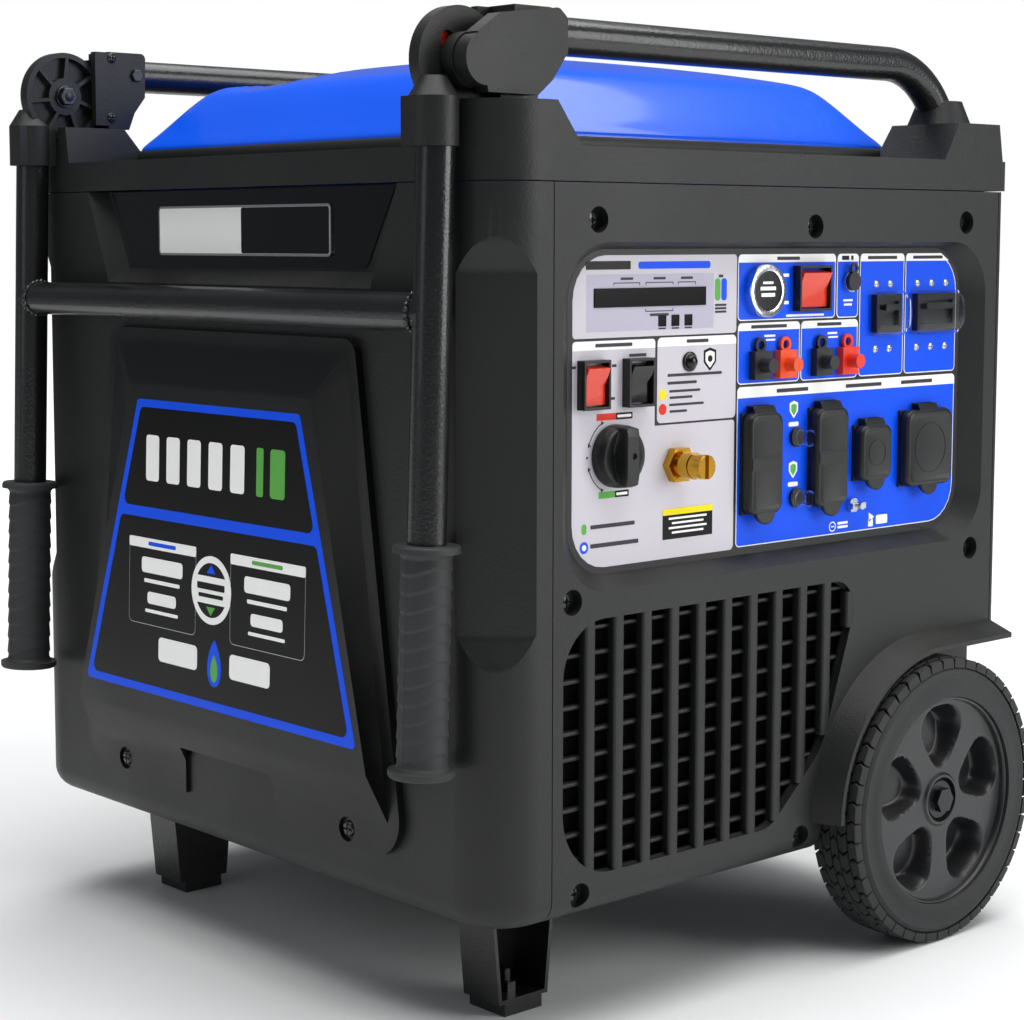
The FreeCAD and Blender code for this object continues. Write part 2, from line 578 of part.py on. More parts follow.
def fuel_tank():
    """Sheet-steel tank: straight walls inside the case and a sloping, crowned top."""
    steps = (("tank_bottom", "0"), ("tank_base", "0"), ("tank_base + 34", "22"), ("tank_base + 56", "46"),
             ("tank_base + 70", "82"), ("tank_base + 76", "135"))
    lofts = []
    for key, sheet_steel in (("outer", "0"), ("inner", "tank_sheet")):
        sections = []
        for i, (level, inset) in enumerate(steps):
            lift = "+" if i == 0 else "-"
            sections.append(tank_section(f"tank_{key}_{i}", f"{level} {lift} {sheet_steel}",
                                         f"{inset} + {sheet_steel}", f"{inset} + {sheet_steel}"))
        lofts.append(loft(f"tank_{key}", *sections))
    neck = rod("tank_neck", "z", "cap_radius - 6", ("cap_x", "cap_y", "tank_base + 60"), "18")
    bore = rod("tank_neck_bore", "z", "cap_radius - 9", ("cap_x", "cap_y", "tank_base + 40"), "40")
    return node("fuel_tank", cut("fuel_tank_cut", fuse("tank_and_neck", lofts[0], neck), lofts[1], bore))


def fuel_cap():
    seat = "tank_base + 76.4"
    rim = rod("cap_rim", "z", "cap_radius", ("cap_x", "cap_y", seat), "8")
    grip = common("cap_grip", block("cap_bar", "cap_x", "12", ("cap_y - cap_radius", "cap_y + cap_radius"),
                                    f"{seat} + 7", "4"), rod("cap_bar_limit", "z", "cap_radius - 3",
                                                             ("cap_x", "cap_y", seat), "9"))
    room = rod("cap_room", "z", "cap_radius - 5.6", ("cap_x", "cap_y", f"{seat} - 1"), "3")
    return node("fuel_cap", cut("fuel_cap_cut", fuse("cap_whole", rim, grip), room))


# ---------------------------------------------------------------- chassis
def base_frame():
    edge, front, rear = "case_side - floor_edge - 1", "-case_end + floor_edge + 1", "rear_seam - 1"
    tray = prism("tray", "xy", "case_bottom", "case_bottom + skin", rectangle(front, rear, f"-({edge})", edge),
                 {"column_round": (0, 3)})
    top = "case_bottom + skin"
    rails = [box(f"engine_rail_{i}", (x, f"{x} + 28"), ("-55", "135"), (top, "150"))
             for i, x in enumerate(("-42", "76"))]
    axle_block = both_sides("axle_blocks", box("axle_block", ("wheel_x - 24", "wheel_x + 24"),
                                               ("-270", "-240"), (top, "wheel_radius + 22")))
    bore = disc("axle_bore", "axle_radius + bore_gap", "wheel_x", "wheel_radius", ("-300", "300"))
    return node("base_frame", cut("base_frame_cut", fuse("base_whole", tray, *rails, axle_block), bore))


def foot_brackets():
    top, low, inner = "bracket_top_half", "bracket_low_half", "sheet_steel"
    y = ("-foot_y - foot_half", "-foot_y + foot_half")
    outer = prism("bracket_outer", "xz", y[0], y[1],
                  ((f"-foot_x - {low}", "pad_thickness"), (f"-foot_x + {low}", "pad_thickness"),
                   (f"-foot_x + {top}", "case_bottom"), (f"-foot_x - {top}", "case_bottom")))
    space = prism("bracket_space", "xz", f"{y[0]} - 1", f"{y[1]} - {inner}",
                  ((f"-foot_x - {low} + {inner}", f"pad_thickness + {inner}"),
                   (f"-foot_x + {low} - {inner}", f"pad_thickness + {inner}"),
                   (f"-foot_x + {top} - {inner}", f"case_bottom - {inner}"),
                   (f"-foot_x - {top} + {inner}", f"case_bottom - {inner}")))
    nut = doc.addObject("Part::Prism", "foot_nut")
    bind(put(nut, "-foot_x", "-foot_y", "pad_thickness + sheet_steel"), Circumradius="8", Height="7")
    bolt = fuse("foot_bolt", rod("foot_bolt_shank", "z", "4", ("-foot_x", "-foot_y", "pad_thickness"), "20"), nut)
    return node("foot_brackets", both_sides("foot_pair", fuse("foot_one", cut("bracket_u", outer, space), bolt)))


def foot_pads():
    pad = box("foot_pad", ("-foot_x - foot_half + 1", "-foot_x + foot_half - 1"),
              ("-foot_y - foot_half", "-foot_y + foot_half"), ("0", "pad_thickness"))
    return node("foot_pads", both_sides("pad_pair", pad))


def wheel_axle():
    end = "hub_face + near_gap"
    shaft = disc("axle_shaft", "axle_radius", "wheel_x", "wheel_radius", (f"-({end}) - 1", f"{end} + 1"))
    washer = disc("axle_washer", "16", "wheel_x", "wheel_radius", (f"-({end}) - 2.5", f"-({end})"))
    head = hexagon("axle_head", "11", "wheel_x", "wheel_radius", (f"-({end}) - 8.5", f"-({end}) - 2.5"))
    return node("wheel_axle", fuse("wheel_axle_fuse", shaft, both_sides("axle_ends",
                                                                         fuse("axle_end", washer, head))))


def turned(name, points, side):
    """Ring turned about the wheel's axle from an outline of (y, radius) on the near side."""
    ring = doc.addObject("Part::Revolution", name)
    ring.Source = polygon(None, name + "_outline", "yz", "0", points)
    ring.Axis = (0, 1, 0)
    ring.Angle = 360
    ring.Solid = True
    put(ring, "wheel_x", "0", "wheel_radius")
    return ring if side == "near" else mirrored(name + "_far", ring)


def tyre(side):
    """Tyre with sloping shoulders."""
    outer, inner, tread = "-tyre_outer", "-tyre_inner", "wheel_radius"
    points = ((outer, "rim_radius"), (inner, "rim_radius"), (inner, f"{tread} - 10"),
              (f"{inner} - 6", f"{tread} - 1.5"), (f"{inner} - 14", tread), (f"{outer} + 14", tread),
              (f"{outer} + 6", f"{tread} - 1.5"), (outer, f"{tread} - 10"))
    return node(f"tyre_{side}", turned(f"tyre_ring_{side}", points, side))


def rim(side):
    """Plastic wheel with a dished web, five round pockets and a raised hub."""
    outer, inner, web = "-tyre_outer + 2", "-tyre_inner - 2", "-tyre_outer + 14"
    points = ((f"-hub_face", "axle_radius + bore_gap"), (f"-hub_face", "hub_radius"),
              (web, "hub_radius + 3"), (f"{web} + 2", "rim_radius - 9"), (outer, "rim_radius - 5"),
              (outer, "rim_radius"), (inner, "rim_radius"), (inner, "rim_radius - 5"),
              (f"{web} + 8", "rim_radius - 8"), (f"{web} + 8", "hub_radius"), (inner, "hub_radius - 6"),
              (inner, "axle_radius + bore_gap"))
    disc_body = turned(f"rim_body_{side}", points, side)
    sign = {"near": "-1", "far": "1"}[side]
    y = sorted((f"{sign}*(tyre_outer - 18)", f"{sign}*(tyre_outer + 2)"), key=number)
    angles = [f"90 + {i}*360/5" for i in range(5)]
    pockets = [disc(f"pocket_{side}_{i}", "pocket_radius",
                    f"wheel_x + pocket_pitch_radius*cos(({a}) * 1 deg)",
                    f"wheel_radius + pocket_pitch_radius*sin(({a}) * 1 deg)", y) for i, a in enumerate(angles)]
    return node(f"rim_{side}", cut(f"rim_cut_{side}", disc_body, *pockets))


# ---------------------------------------------------------------- top rails and handle
def rail_path_shape(radius):
    """Tube along a top rail: straight, then bent down into its boot."""
    start = FreeCAD.Vector(-number("rail_start"), -number("tube_y"), number("rail_height"))
    bend = FreeCAD.Vector(number("rail_bend_start"), start.y, start.z)
    r, turn_angle = number("rail_bend_radius"), FreeCAD.Units.Quantity("62 deg").getValueAs("rad").Value
    centre = bend - FreeCAD.Vector(0, 0, r)
    circle = Part.Circle(centre, FreeCAD.Vector(0, 1, 0), r)
    along = circle.parameter(bend)
    arc = Part.ArcOfCircle(circle, along, along + turn_angle).toShape()
    end = arc.Vertexes[1].Point
    direction = circle.tangent(along + turn_angle)[0]
    finish = end + direction * 26
    wire = Part.Wire([Part.LineSegment(start, bend).toShape(), arc, Part.LineSegment(end, finish).toShape()])
    profile = Part.Wire([Part.makeCircle(radius, start, FreeCAD.Vector(1, 0, 0))])
    return wire.makePipeShell([profile], True, False)


def rail_tube(name, radius):
    tube = doc.addObject("Part::Feature", name)
    tube.Shape = rail_path_shape(number(radius))
    return tube


def rail_bore():
    """Solid of a whole rail, to cut its sockets with."""
    return rail_tube("rail_bore", "tube_radius")


def top_rails():
    below = box("rail_end_limit", ("180", "300"), ("-300", "-240"), ("600", "post_height + 0.2"))
    tube = cut("rail_one", rail_tube("rail_outer", "tube_radius"),
               rail_tube("rail_inner", "tube_radius - tube_wall"), below)
    return node("top_rails", both_sides("rail_pair", tube))


def rail_end_covers():
    """Outer caps of the handle's hinges, and the boots at the rails' rear ends."""
    cap = prism("hinge_cap", "xz", "-296", "-283",
                (("-pivot_x + 2", "691"), ("-236", "691"), ("-222", "702"), ("-207.4", "722"),
                 ("-207.4", "746"), ("-216", "753"), ("-272", "746"), ("-pivot_x - 8", "pivot_z + 18")),
                {"6": (4, 5)})
    lobe = disc("cap_lobe", "ear_radius - 1", "-pivot_x", "pivot_z", ("-296", "-283"))
    boot = cone("boot_cone", "z", "27", "19", ("256", "-tube_y", "post_height"), "20")
    cap_whole = cut("hinge_cap_bored", fuse("hinge_cap_whole", cap, lobe), rail_bore())
    covers = group("end_covers", cap_whole, cut("boot_bored", boot, rail_bore()))
    return node("rail_end_covers", both_sides("end_cover_pair", covers))


def hinge_brackets():
    """Bracket on each front post: a core that holds the rail, an inner plate and an outer ear."""
    core = prism("bracket_core", "xz", "-282", "-250",
                 (("-246", "post_height"), ("-225", "post_height"), ("-219", "702"), ("-208", "716"),
                  ("-207", "754.5"), ("-246", "754.5")), {"5": (4,)})
    plate = box("bracket_plate", ("-plate_end", "-246"), ("-257", "-250"), ("690", "754"))
    ear = disc("bracket_ear", "ear_radius", "-pivot_x", "pivot_z", ("-282", "-270"))
    neck = box("bracket_neck", ("-pivot_x", "-240"), ("-282", "-270"), ("pivot_z - 17", "pivot_z + 17"))
    hole = disc("bracket_hole", "bolt_radius", "-pivot_x", "pivot_z", ("-283", "-269"))
    foot = box("bracket_foot", ("-plate_end", "-246"), ("-282", "-274"), ("post_height", "post_height + 6"))
    one = cut("bracket_one", fuse("bracket_whole", core, plate, ear, neck, foot), rail_bore(), hole)
    return node("hinge_brackets", both_sides("bracket_pair", one))


def leg_rod(name, radius, top, length):
    """Rod along a leg, given by its distance below the leg's top and its length."""
    obj = turn(doc.addObject("Part::Cylinder", name), (0, 1, 0), number("leg_tilt"))
    bind(obj, Radius=radius, Height=length, Placement__Rotation__Angle="leg_tilt")
    down = f"({top}) + ({length})"
    return put(obj, f"-leg_top_x - ({down})*sin(leg_tilt * 1 deg)", "-tube_y",
               f"collar_low - ({down})*cos(leg_tilt * 1 deg)")


def handle_frame():
    inside = "tube_radius - tube_wall"
    leg = cut("leg_tube", leg_rod("leg_outer", "tube_radius", "-32", "leg_length + 32"),
              leg_rod("leg_inner", inside, "-33", "leg_length + 34"))
    bar_y = ("-tube_y", "tube_y")
    bar = cut("cross_tube", disc("cross_outer", "tube_radius", "-cross_x", "cross_height", bar_y),
              disc("cross_inner", inside, "-cross_x", "cross_height", ("-tube_y - 1", "tube_y + 1")),
              both_sides("cross_ends", leg_rod("cross_end", "tube_radius - 0.02", "-32", "leg_length + 32")))
    return node("handle_frame", fuse("handle_frame_fuse", both_sides("leg_pair", leg), bar))


def handle_knuckles():
    head = disc("knuckle_head", "knuckle_radius", "-pivot_x", "pivot_z", ("-knuckle_outer", "-knuckle_inner"))
    arm = box("knuckle_arm", ("-collar_x - collar_radius", "-collar_x + collar_radius"),
              ("-tube_y", "-knuckle_inner"), ("collar_low", "collar_high"))
    collar = rod("knuckle_collar", "z", "collar_radius", ("-collar_x", "-tube_y", "collar_low"),
                 "collar_high - collar_low")
    tip = cone("knuckle_tip", "z", "collar_radius", "collar_tip_radius",
               ("-collar_x", "-tube_y", "collar_high"), "collar_tip - collar_high")
    socket = leg_rod("knuckle_socket", "tube_radius", "-32", "60")
    hole = disc("knuckle_hole", "bolt_radius + bore_gap", "-pivot_x", "pivot_z",
                ("-knuckle_outer - 1", "-knuckle_inner + 1"))
    whole = fuse("knuckle_whole", head, arm, collar, tip)
    near = cut("knuckle_near", whole, socket, hole,
               disc("lock_hole", "lock_radius + 0.3", "-lock_x", "lock_z", ("-knuckle_outer - 1",
                                                                            "-knuckle_inner + 1")))
    face = ("-knuckle_inner - 6", "-knuckle_inner + 1")
    hub = disc("pocket_hub", "16", "-pivot_x", "pivot_z", face)
    ribs = [turn(doc.addObject("Part::Box", f"pocket_rib_{i}"), (0, 1, 0), 20 + i * 360 / 7) for i in range(7)]
    for rib in ribs:
        bind(rib, Length="knuckle_radius", Width="7", Height="3")
        put(rib, "-pivot_x", face[0], "pivot_z")
    pockets = cut("knuckle_pockets", disc("pocket_ring", "knuckle_radius - 4.5", "-pivot_x", "pivot_z", face), hub,
                  *ribs)
    far = mirrored("knuckle_far_turned", cut("knuckle_far", whole, socket, hole, pockets))
    return node("handle_knuckles", group("knuckle_pair", near, far))


def lock_button():
    face = "-knuckle_inner + lock_travel + near_gap"
    stem = disc("lock_stem", "lock_radius", "-lock_x", "lock_z", ("-knuckle_outer + lock_travel", face))
    knob = disc("lock_knob", "lock_radius + 2.6", "-lock_x", "lock_z", (face, f"{face} + 5"))
    return node("lock_button", fuse("lock_button_fuse", stem, knob))


def handle_grips():
    body = leg_rod("grip_body", "grip_radius", "leg_length - grip_length", "grip_length")
    top = leg_rod("grip_top", "flange_radius", "leg_length - grip_length", "flange_thickness")
    low = leg_rod("grip_low", "flange_radius", "leg_length - flange_thickness", "flange_thickness")
    bore = leg_rod("grip_bore", "tube_radius", "leg_length - grip_length - 1", "grip_length + 2")
    return node("handle_grips", both_sides("grip_pair", cut("grip_one", fuse("grip_whole", body, top, low),
                                                            bore)))


def fasteners():
    """Bolts of the handle's hinges, and the screws at the bottom of the side panel's recesses."""
    bolt = fuse("hinge_bolt", disc("hinge_shank", "bolt_radius", "-pivot_x", "pivot_z", ("-283", "-251")),
                hexagon("hinge_nut", "8.4", "-pivot_x", "pivot_z", ("-knuckle_inner + near_gap", "-251")))
    screws = [disc(f"panel_screw_{i}", "screw_head", x, z, ("-case_side + 6", "-case_side + 9"))
              for i, (x, z) in enumerate(SCREW_SPOTS)]
    covers = both_sides("cover_screws", rod("cover_screw", "x", "screw_head",
                                            ("-case_end - cover_flange/2 - 3", "-cover_screw_y",
                                             "cover_screw_height"), "3"))
    return node("fasteners", group("all_fasteners", both_sides("hinge_bolts", bolt), covers, *screws))


# ---------------------------------------------------------------- control panel
PLATE = "-case_side + panel_depth"
BACK = "-case_side + panel_depth + panel_plate"
SWITCHES = {"fuel": ("fuel_switch_x", "small_switch_z", "small_switch_width"),
            "idle": ("idle_switch_x", "small_switch_z", "small_switch_width"),
            "main": ("main_switch_x", "main_switch_z", "main_switch_width")}
OUTLETS = {"duplex_cover_left": ("-5.5", "40", "416", "80"), "duplex_cover_right": ("75", "40", "416", "80"),
           "twist_lock_cover": ("131", "40", "416", "46"), "range_cover": ("201.8", "62", "416", "64")}
BOOTS = {"parallel_boot_black": "-6", "parallel_boot_orange": "23.5", "dc_boot_black": "67.5",
         "dc_boot_red": "100"}
BREAKERS = {"small": ("small_breaker_x", "small_breaker_width"),
            "main": ("main_breaker_x", "main_breaker_width")}
RESETS = {"reset_button_upper": "reset_high", "reset_button_lower": "reset_low"}


def proud(depth, extra="0"):
    """Bounds in y of something that stands out of the panel's plate, from a little clear of it."""
    return f"{PLATE} - ({depth})", f"{PLATE} - ({extra})"


def control_panel():
    plate = box("panel_plate_box", ("-bezel_left - skin", "bezel_right + skin"), (PLATE, BACK),
                ("bezel_low - skin", "bezel_high + skin"))
    through = (f"{PLATE} - 1", f"{BACK} + 1")
    holes = [disc("start_hole", "button_radius + near_gap", "start_x", "start_z", through),
             disc("knob_hole", "post_radius + bore_gap", "knob_x", "knob_z", through)]
    for key, (x, z, width) in SWITCHES.items():
        holes.append(block(f"{key}_switch_hole", x, f"{width} - 2*switch_wall", through, z,
                           "switch_height - 2*switch_wall"))
    return node("control_panel", cut("control_panel_cut", plate, *holes))


def switch_frames():
    frames = []
    for key, (x, z, width) in SWITCHES.items():
        outer = block(f"{key}_frame_outer", x, width, proud("switch_depth"), z, "switch_height")
        inner = block(f"{key}_frame_inner", x, f"{width} - 2*switch_wall", proud("switch_depth + 1", "-1"),
                      z, "switch_height - 2*switch_wall")
        frames.append(cut(f"{key}_frame", outer, inner))
    return node("switch_frames", group("frames", *frames))


def rocker(key, label):
    """Rocker with a shallow valley, tilted to one of its two positions about an axis along x."""
    x, z, width = SWITCHES[key]
    half, deep = "(switch_height/2 - switch_wall - 2.2)", "6"
    wide = f"{width} - 2*switch_wall - 2*rocker_gap"
    body = prism(f"{label}_body", "yz", f"-({wide})/2", f"({wide})/2",
                 ((deep, f"-{half}"), (deep, half), ("-6.5", half), ("-3.6", "0"), ("-6.5", f"-{half}")))
    turn(body, (1, 0, 0), number("rocker_tilt"))
    bind(body, Placement__Rotation__Angle="rocker_tilt")
    return node(label, put(body, x, f"{PLATE} - 1", z))


def start_ring():
    ring = cut("start_ring_cut", disc("ring_outer", "ring_radius", "start_x", "start_z", proud("ring_depth")),
               disc("ring_inner", "button_radius + near_gap", "start_x", "start_z",
                    proud("ring_depth + 1", "-1")))
    return node("start_ring", ring)


def start_button():
    return node("start_button", disc("start_button_body", "button_radius", "start_x", "start_z",
                                     proud("ring_depth - 1", "-6")))


def display_window():
    lcd = box("display_glass", ("-185", "-66"), proud("1"), ("540.5", "554.5"))
    lamps = [block(f"display_lamp_{i}", f"-113.4 + {i}*14.2", "8.5", proud("0.8"), "529.6", "8.5")
             for i in range(3)]
    return node("display_window", group("display_parts", lcd, *lamps))


def fuel_knob():
    skirt = disc("knob_skirt_disc", "knob_radius", "knob_x", "knob_z", proud("knob_skirt", "near_gap"))
    shell = cone("knob_dome", "y", "knob_radius - 6", "knob_radius - 1",
                 ("knob_x", f"{PLATE} - knob_depth + 6", "knob_z"), "knob_depth - knob_skirt - 6")
    bar = common("knob_bar", block("knob_bar_block", "knob_x", "16", proud("knob_depth", "knob_skirt"), "knob_z",
                                   "2*knob_radius"),
                 disc("knob_bar_limit", "knob_radius - 1.5", "knob_x", "knob_z", proud("knob_depth")))
    shaft = disc("knob_shaft", "post_radius", "knob_x", "knob_z", proud("knob_skirt", "-12"))
    return node("fuel_knob", fuse("fuel_knob_fuse", skirt, shell, bar, shaft))


def gas_inlet():
    nut = hexagon("gas_nut", "14.6", "gas_x", "gas_z", proud("7"))
    neck = disc("gas_neck", "gas_radius - 1.5", "gas_x", "gas_z", proud("11", "6"))
    barrel = disc("gas_barrel", "gas_radius + 0.8", "gas_x", "gas_z", proud("20", "11"))
    seat = disc("gas_seat", "5.6", "gas_x", "gas_z", proud("21", "13"))
    return node("gas_inlet", cut("gas_inlet_cut", fuse("gas_whole", nut, neck, barrel), seat))


def gas_inlet_plug():
    head = disc("gas_plug_head", "gas_radius", "gas_x", "gas_z", proud("gas_depth", "20.3"))
    stem = disc("gas_plug_stem", "5.2", "gas_x", "gas_z", proud("21", "13.5"))
    slot = block("gas_plug_slot", "gas_x", "4", proud("gas_depth + 1", "gas_depth - 3"), "gas_z",
                 "2*gas_radius + 2")
    return node("gas_inlet_plug", cut("gas_plug_cut", fuse("gas_plug_whole", head, stem), slot))


def lid_pin_height(z, height):
    return f"{z} + {height}/2 + 3"


def outlet_bodies():
    """Base plates, hinge ears and socket faces that the four weather lids cover."""
    parts = []
    for label, (x, width, z, height) in OUTLETS.items():
        base = block(f"{label}_base", x, width, proud("outlet_plate"), z, height)
        face = block(f"{label}_face", x, f"{width} - 14", proud("outlet_plate + 3", "outlet_plate"), z,
                     f"{height} - 14")
        pin_z = lid_pin_height(z, height)
        ears = [block(f"{label}_ear_{i}", f"{x} {sign} 11", "3", proud("7.3"), pin_z, "4")
                for i, sign in enumerate("-+")]
        link = block(f"{label}_link", x, "25", proud("1.8"), f"{pin_z} - 2.2", "9")
        parts.append(fuse(f"{label}_seat", base, face, link, *ears))
    return node("outlet_bodies", group("outlets", *parts))


def outlet_cover(label):
    """Hollow weather lid, hinged on a pin along its top edge, with a pull tab."""
    x, width, z, height = OUTLETS[label]
    pin_z = lid_pin_height(z, height)
    y = proud("cover_depth", "outlet_plate + near_gap")
    shell = block(f"{label}_shell", x, width, y, z, height)
    room = block(f"{label}_room", x, f"{width} - 2*lid_wall", (f"{y[0]} + lid_wall", f"{y[1]} + 1"), z,
                 f"{height} - 2*lid_wall")
    barrel = block(f"{label}_barrel", x, "18", proud("7.6", "3.4"), f"{pin_z} - 1", "6")
    low = f"{z} - {height}/2"
    tab = cone(f"{label}_tab", "y", "9", "9", (x, y[0], low), "3")
    return node(label, fuse(f"{label}_fuse", cut(f"{label}_lid", shell, room), barrel, tab))


def boot(label):
    """Rubber boot over a terminal post, with a nub in front and a strap loop above."""
    x, half = BOOTS[label], "boot_half"
    body = block(f"{label}_body", x, f"2*{half}", proud("boot_depth", "near_gap"), "boot_z",
                 f"2*{half} + 2")
    nub = disc(f"{label}_nub", "5.6", x, "boot_z", proud("boot_nub", "boot_depth"))
    loop = cut(f"{label}_loop", disc(f"{label}_loop_outer", "6", x, "boot_z + 15.5", proud("4", "1.5")),
               disc(f"{label}_loop_hole", "3.6", x, "boot_z + 15.5", proud("5", "1")))
    room = disc(f"{label}_room", "post_radius + near_gap", x, "boot_z", proud("14", "-1"))
    seat = disc(f"{label}_seat", "8.4", x, "boot_z", proud("3.4", "-1"))
    return node(label, cut(f"{label}_cut", fuse(f"{label}_whole", body, nub, loop), room, seat))


def terminal_posts():
    """Four studs under the boots, the earth stud with its wing nut, and the battery jack's collar."""
    parts = []
    for label, x in BOOTS.items():
        parts.append(fuse(f"{label}_post", disc(f"{label}_stud", "post_radius", x, "boot_z", proud("13")),
                          disc(f"{label}_collar", "8", x, "boot_z", proud("3"))))
    stud = disc("earth_stud", "3", "ground_x", "ground_z", proud("13"))
    nut = hexagon("earth_nut", "6.4", "ground_x", "ground_z", proud("4"))
    wing = block("earth_wing", "ground_x", "17", proud("9.5", "6"), "ground_z", "5")
    jack = disc("jack_collar", "port_radius", "port_x", "port_z", proud("3.5"))
    return node("terminal_posts", group("posts_and_jack", fuse("earth_post", stud, nut, wing), jack, *parts))


def charge_port_cap():
    lid = disc("jack_lid", "port_radius - 1", "port_x", "port_z", proud("6.5", "3.5 + near_gap"))
    loop = cut("jack_loop", disc("jack_loop_outer", "4.4", "port_x", "port_z + 10.5", proud("6", "4.4")),
               disc("jack_loop_hole", "2.4", "port_x", "port_z + 10.5", proud("7", "4")))
    return node("charge_port_cap", fuse("charge_port_cap_fuse", lid, loop))


def reset_button(label):
    z = RESETS[label]
    cap = disc(f"{label}_cap", "reset_radius", "reset_x", z, proud("reset_depth", "6.5"))
    room = disc(f"{label}_room", "reset_radius - 1.2", "reset_x", z, proud("reset_depth - 1.2", "3"))
    return node(label, cut(f"{label}_cut", cap, room))


def breaker_bases():
    """Housings of the two breakers, and the collars of the two push breakers."""
    parts = []
    for key, (x, width) in BREAKERS.items():
        body = block(f"breaker_body_{key}", x, f"{width} - 6", proud("6"), "breaker_z", "2*breaker_half - 5")
        slot = block(f"breaker_slot_{key}", x, f"{width} - 14", proud("7", "2"), "breaker_z", "20")
        parts.append(cut(f"breaker_base_{key}", body, slot))
    for label, z in RESETS.items():
        parts.append(disc(f"{label}_base", "reset_radius + 1", "reset_x", z, proud("3")))
    return node("breaker_bases", group("breaker_parts", *parts))


def breaker_lever(key):
    """Toggle bar of a breaker, drawn at the middle of its slot's upper half."""
    x, width = BREAKERS[key]
    bar = block(f"lever_bar_{key}", x, f"{width} - 18", proud("10.5", "8"), "breaker_z + 5", "5")
    stems = [block(f"lever_stem_{key}_{i}", f"{x} {sign} ({width} - 26)/2", "6", proud("9", "2.6"),
                   "breaker_z + 5", "4") for i, sign in enumerate("-+")]
    return node(f"breaker_lever_{key}", fuse(f"lever_{key}", bar, *stems))


def breaker_cover(key):
    """Clear bulging cover, hinged along its top edge."""
    x, width = BREAKERS[key]
    half, deep = "breaker_half", "breaker_depth"
    shapes = []
    for kind, wall in (("outer", "0"), ("inner", "1.4")):
        y = (f"{PLATE} - near_gap + ({wall})*3", f"{PLATE} - {deep}*0.45", f"{PLATE} - {deep}*0.86 + {wall}",
             f"{PLATE} - {deep} + {wall}")
        points = [(y[0], f"breaker_z - {half} + {wall}"), (y[0], f"breaker_z + {half} - {wall}"),
                  (y[1], f"breaker_z + {half} - {wall}"), (y[2], f"breaker_z + {half}*0.62"),
                  (y[3], f"breaker_z + {half}*0.25"), (y[3], f"breaker_z - {half}*0.25"),
                  (y[2], f"breaker_z - {half}*0.62"), (y[1], f"breaker_z - {half} + {wall}")]
        reach = f"{width}/2 - ({wall})"
        shapes.append(prism(f"breaker_cover_{key}_{kind}", "yz", f"{x} - ({reach})", f"{x} + ({reach})",
                            points))
    return node(f"breaker_cover_{key}", cut(f"breaker_cover_{key}_cut", *shapes))


# ---------------------------------------------------------------- inside the case
def engine_block():
    crank = box("crankcase", ("-44", "106"), ("-60", "140"), ("150", "330"))
    barrel = rod("cylinder_barrel", "y", "55", ("31", "140", "240"), "70")
    head = box("cylinder_head", ("-34", "96"), ("210", "262"), ("175", "305"))
    fins = [box(f"cooling_fin_{i}", ("-44", "106"), (f"150 + {i}*12", f"150 + {i}*12 + 4"), ("170", "310"))
            for i in range(5)]
    bore = rod("crank_bore", "x", "shaft_radius + bore_gap", ("-50", "shaft_y", "shaft_z"), "200")
    return node("engine_block", cut("engine_block_cut", fuse("engine_whole", crank, barrel, head, *fins), bore))


def stator():
    ring = rod("stator_ring", "x", "stator_radius", ("-100", "shaft_y", "shaft_z"), "50")
    spacer = rod("stator_spacer", "x", "40", ("-50", "shaft_y", "shaft_z"), "6")
    bore = rod("stator_bore", "x", "shaft_radius + 6", ("-101", "shaft_y", "shaft_z"), "60")
    return node("stator", cut("stator_cut", fuse("stator_whole", ring, spacer), bore))


def engine_shaft():
    """Crankshaft with the generator's outer rotor and the cooling fan on its front end."""
    centre = ("shaft_y", "shaft_z")
    shaft = rod("crank_rod", "x", "shaft_radius", ("-150", *centre), "262")
    cup = rod("rotor_cup", "x", "rotor_radius", ("-112", *centre), "62")
    room = cut("rotor_room", rod("rotor_room_outer", "x", "rotor_inner", ("-104", *centre), "60"),
               rod("rotor_room_core", "x", "shaft_radius", ("-105", *centre), "62"))
    fan = rod("fan_disc", "x", "rotor_radius + 8", ("-136", *centre), "4")
    blades = [turn(doc.addObject("Part::Box", f"fan_blade_{i}"), (1, 0, 0), i * 360 / 12) for i in range(12)]
    for blade in blades:
        bind(blade, Length="20", Width="3", Height="rotor_radius + 6")
        put(blade, "-132", *centre)
    return node("engine_shaft", fuse("engine_shaft_fuse", shaft, cut("rotor", cup, room), fan, *blades))


def muffler():
    can = cut("muffler_can", rod("can_outer", "y", "52", ("218", "-130", "340"), "260"),
              rod("can_inner", "y", "50.5", ("218", "-128", "340"), "256"))
    pipe = cut("tail_pipe", rod("pipe_outer", "x", "16", ("268.5", "110", "340"), "24"),
               rod("pipe_inner", "x", "14.5", ("270", "110", "340"), "30"))
    return node("muffler", group("muffler_parts", can, pipe))


def inverter_module():
    core = box("inverter_core", ("-215", "60"), ("-255", "-215"), ("350", "540"))
    fins = [box(f"heat_sink_{i}", (f"-210 + {i}*24", f"-210 + {i}*24 + 4"), ("-215", "-190"), ("352", "538"))
            for i in range(12)]
    return node("inverter_module", fuse("inverter_module_fuse", core, *fins))


def battery():
    case = box("battery_case", ("-235", "-85"), ("-270", "-183"), ("case_bottom + skin", "215"))
    poles = [box(f"battery_pole_{i}", (x, f"{x} + 16"), ("-234", "-218"), ("215", "224"))
             for i, x in enumerate(("-222", "-114"))]
    return node("battery", fuse("battery_fuse", case, *poles))


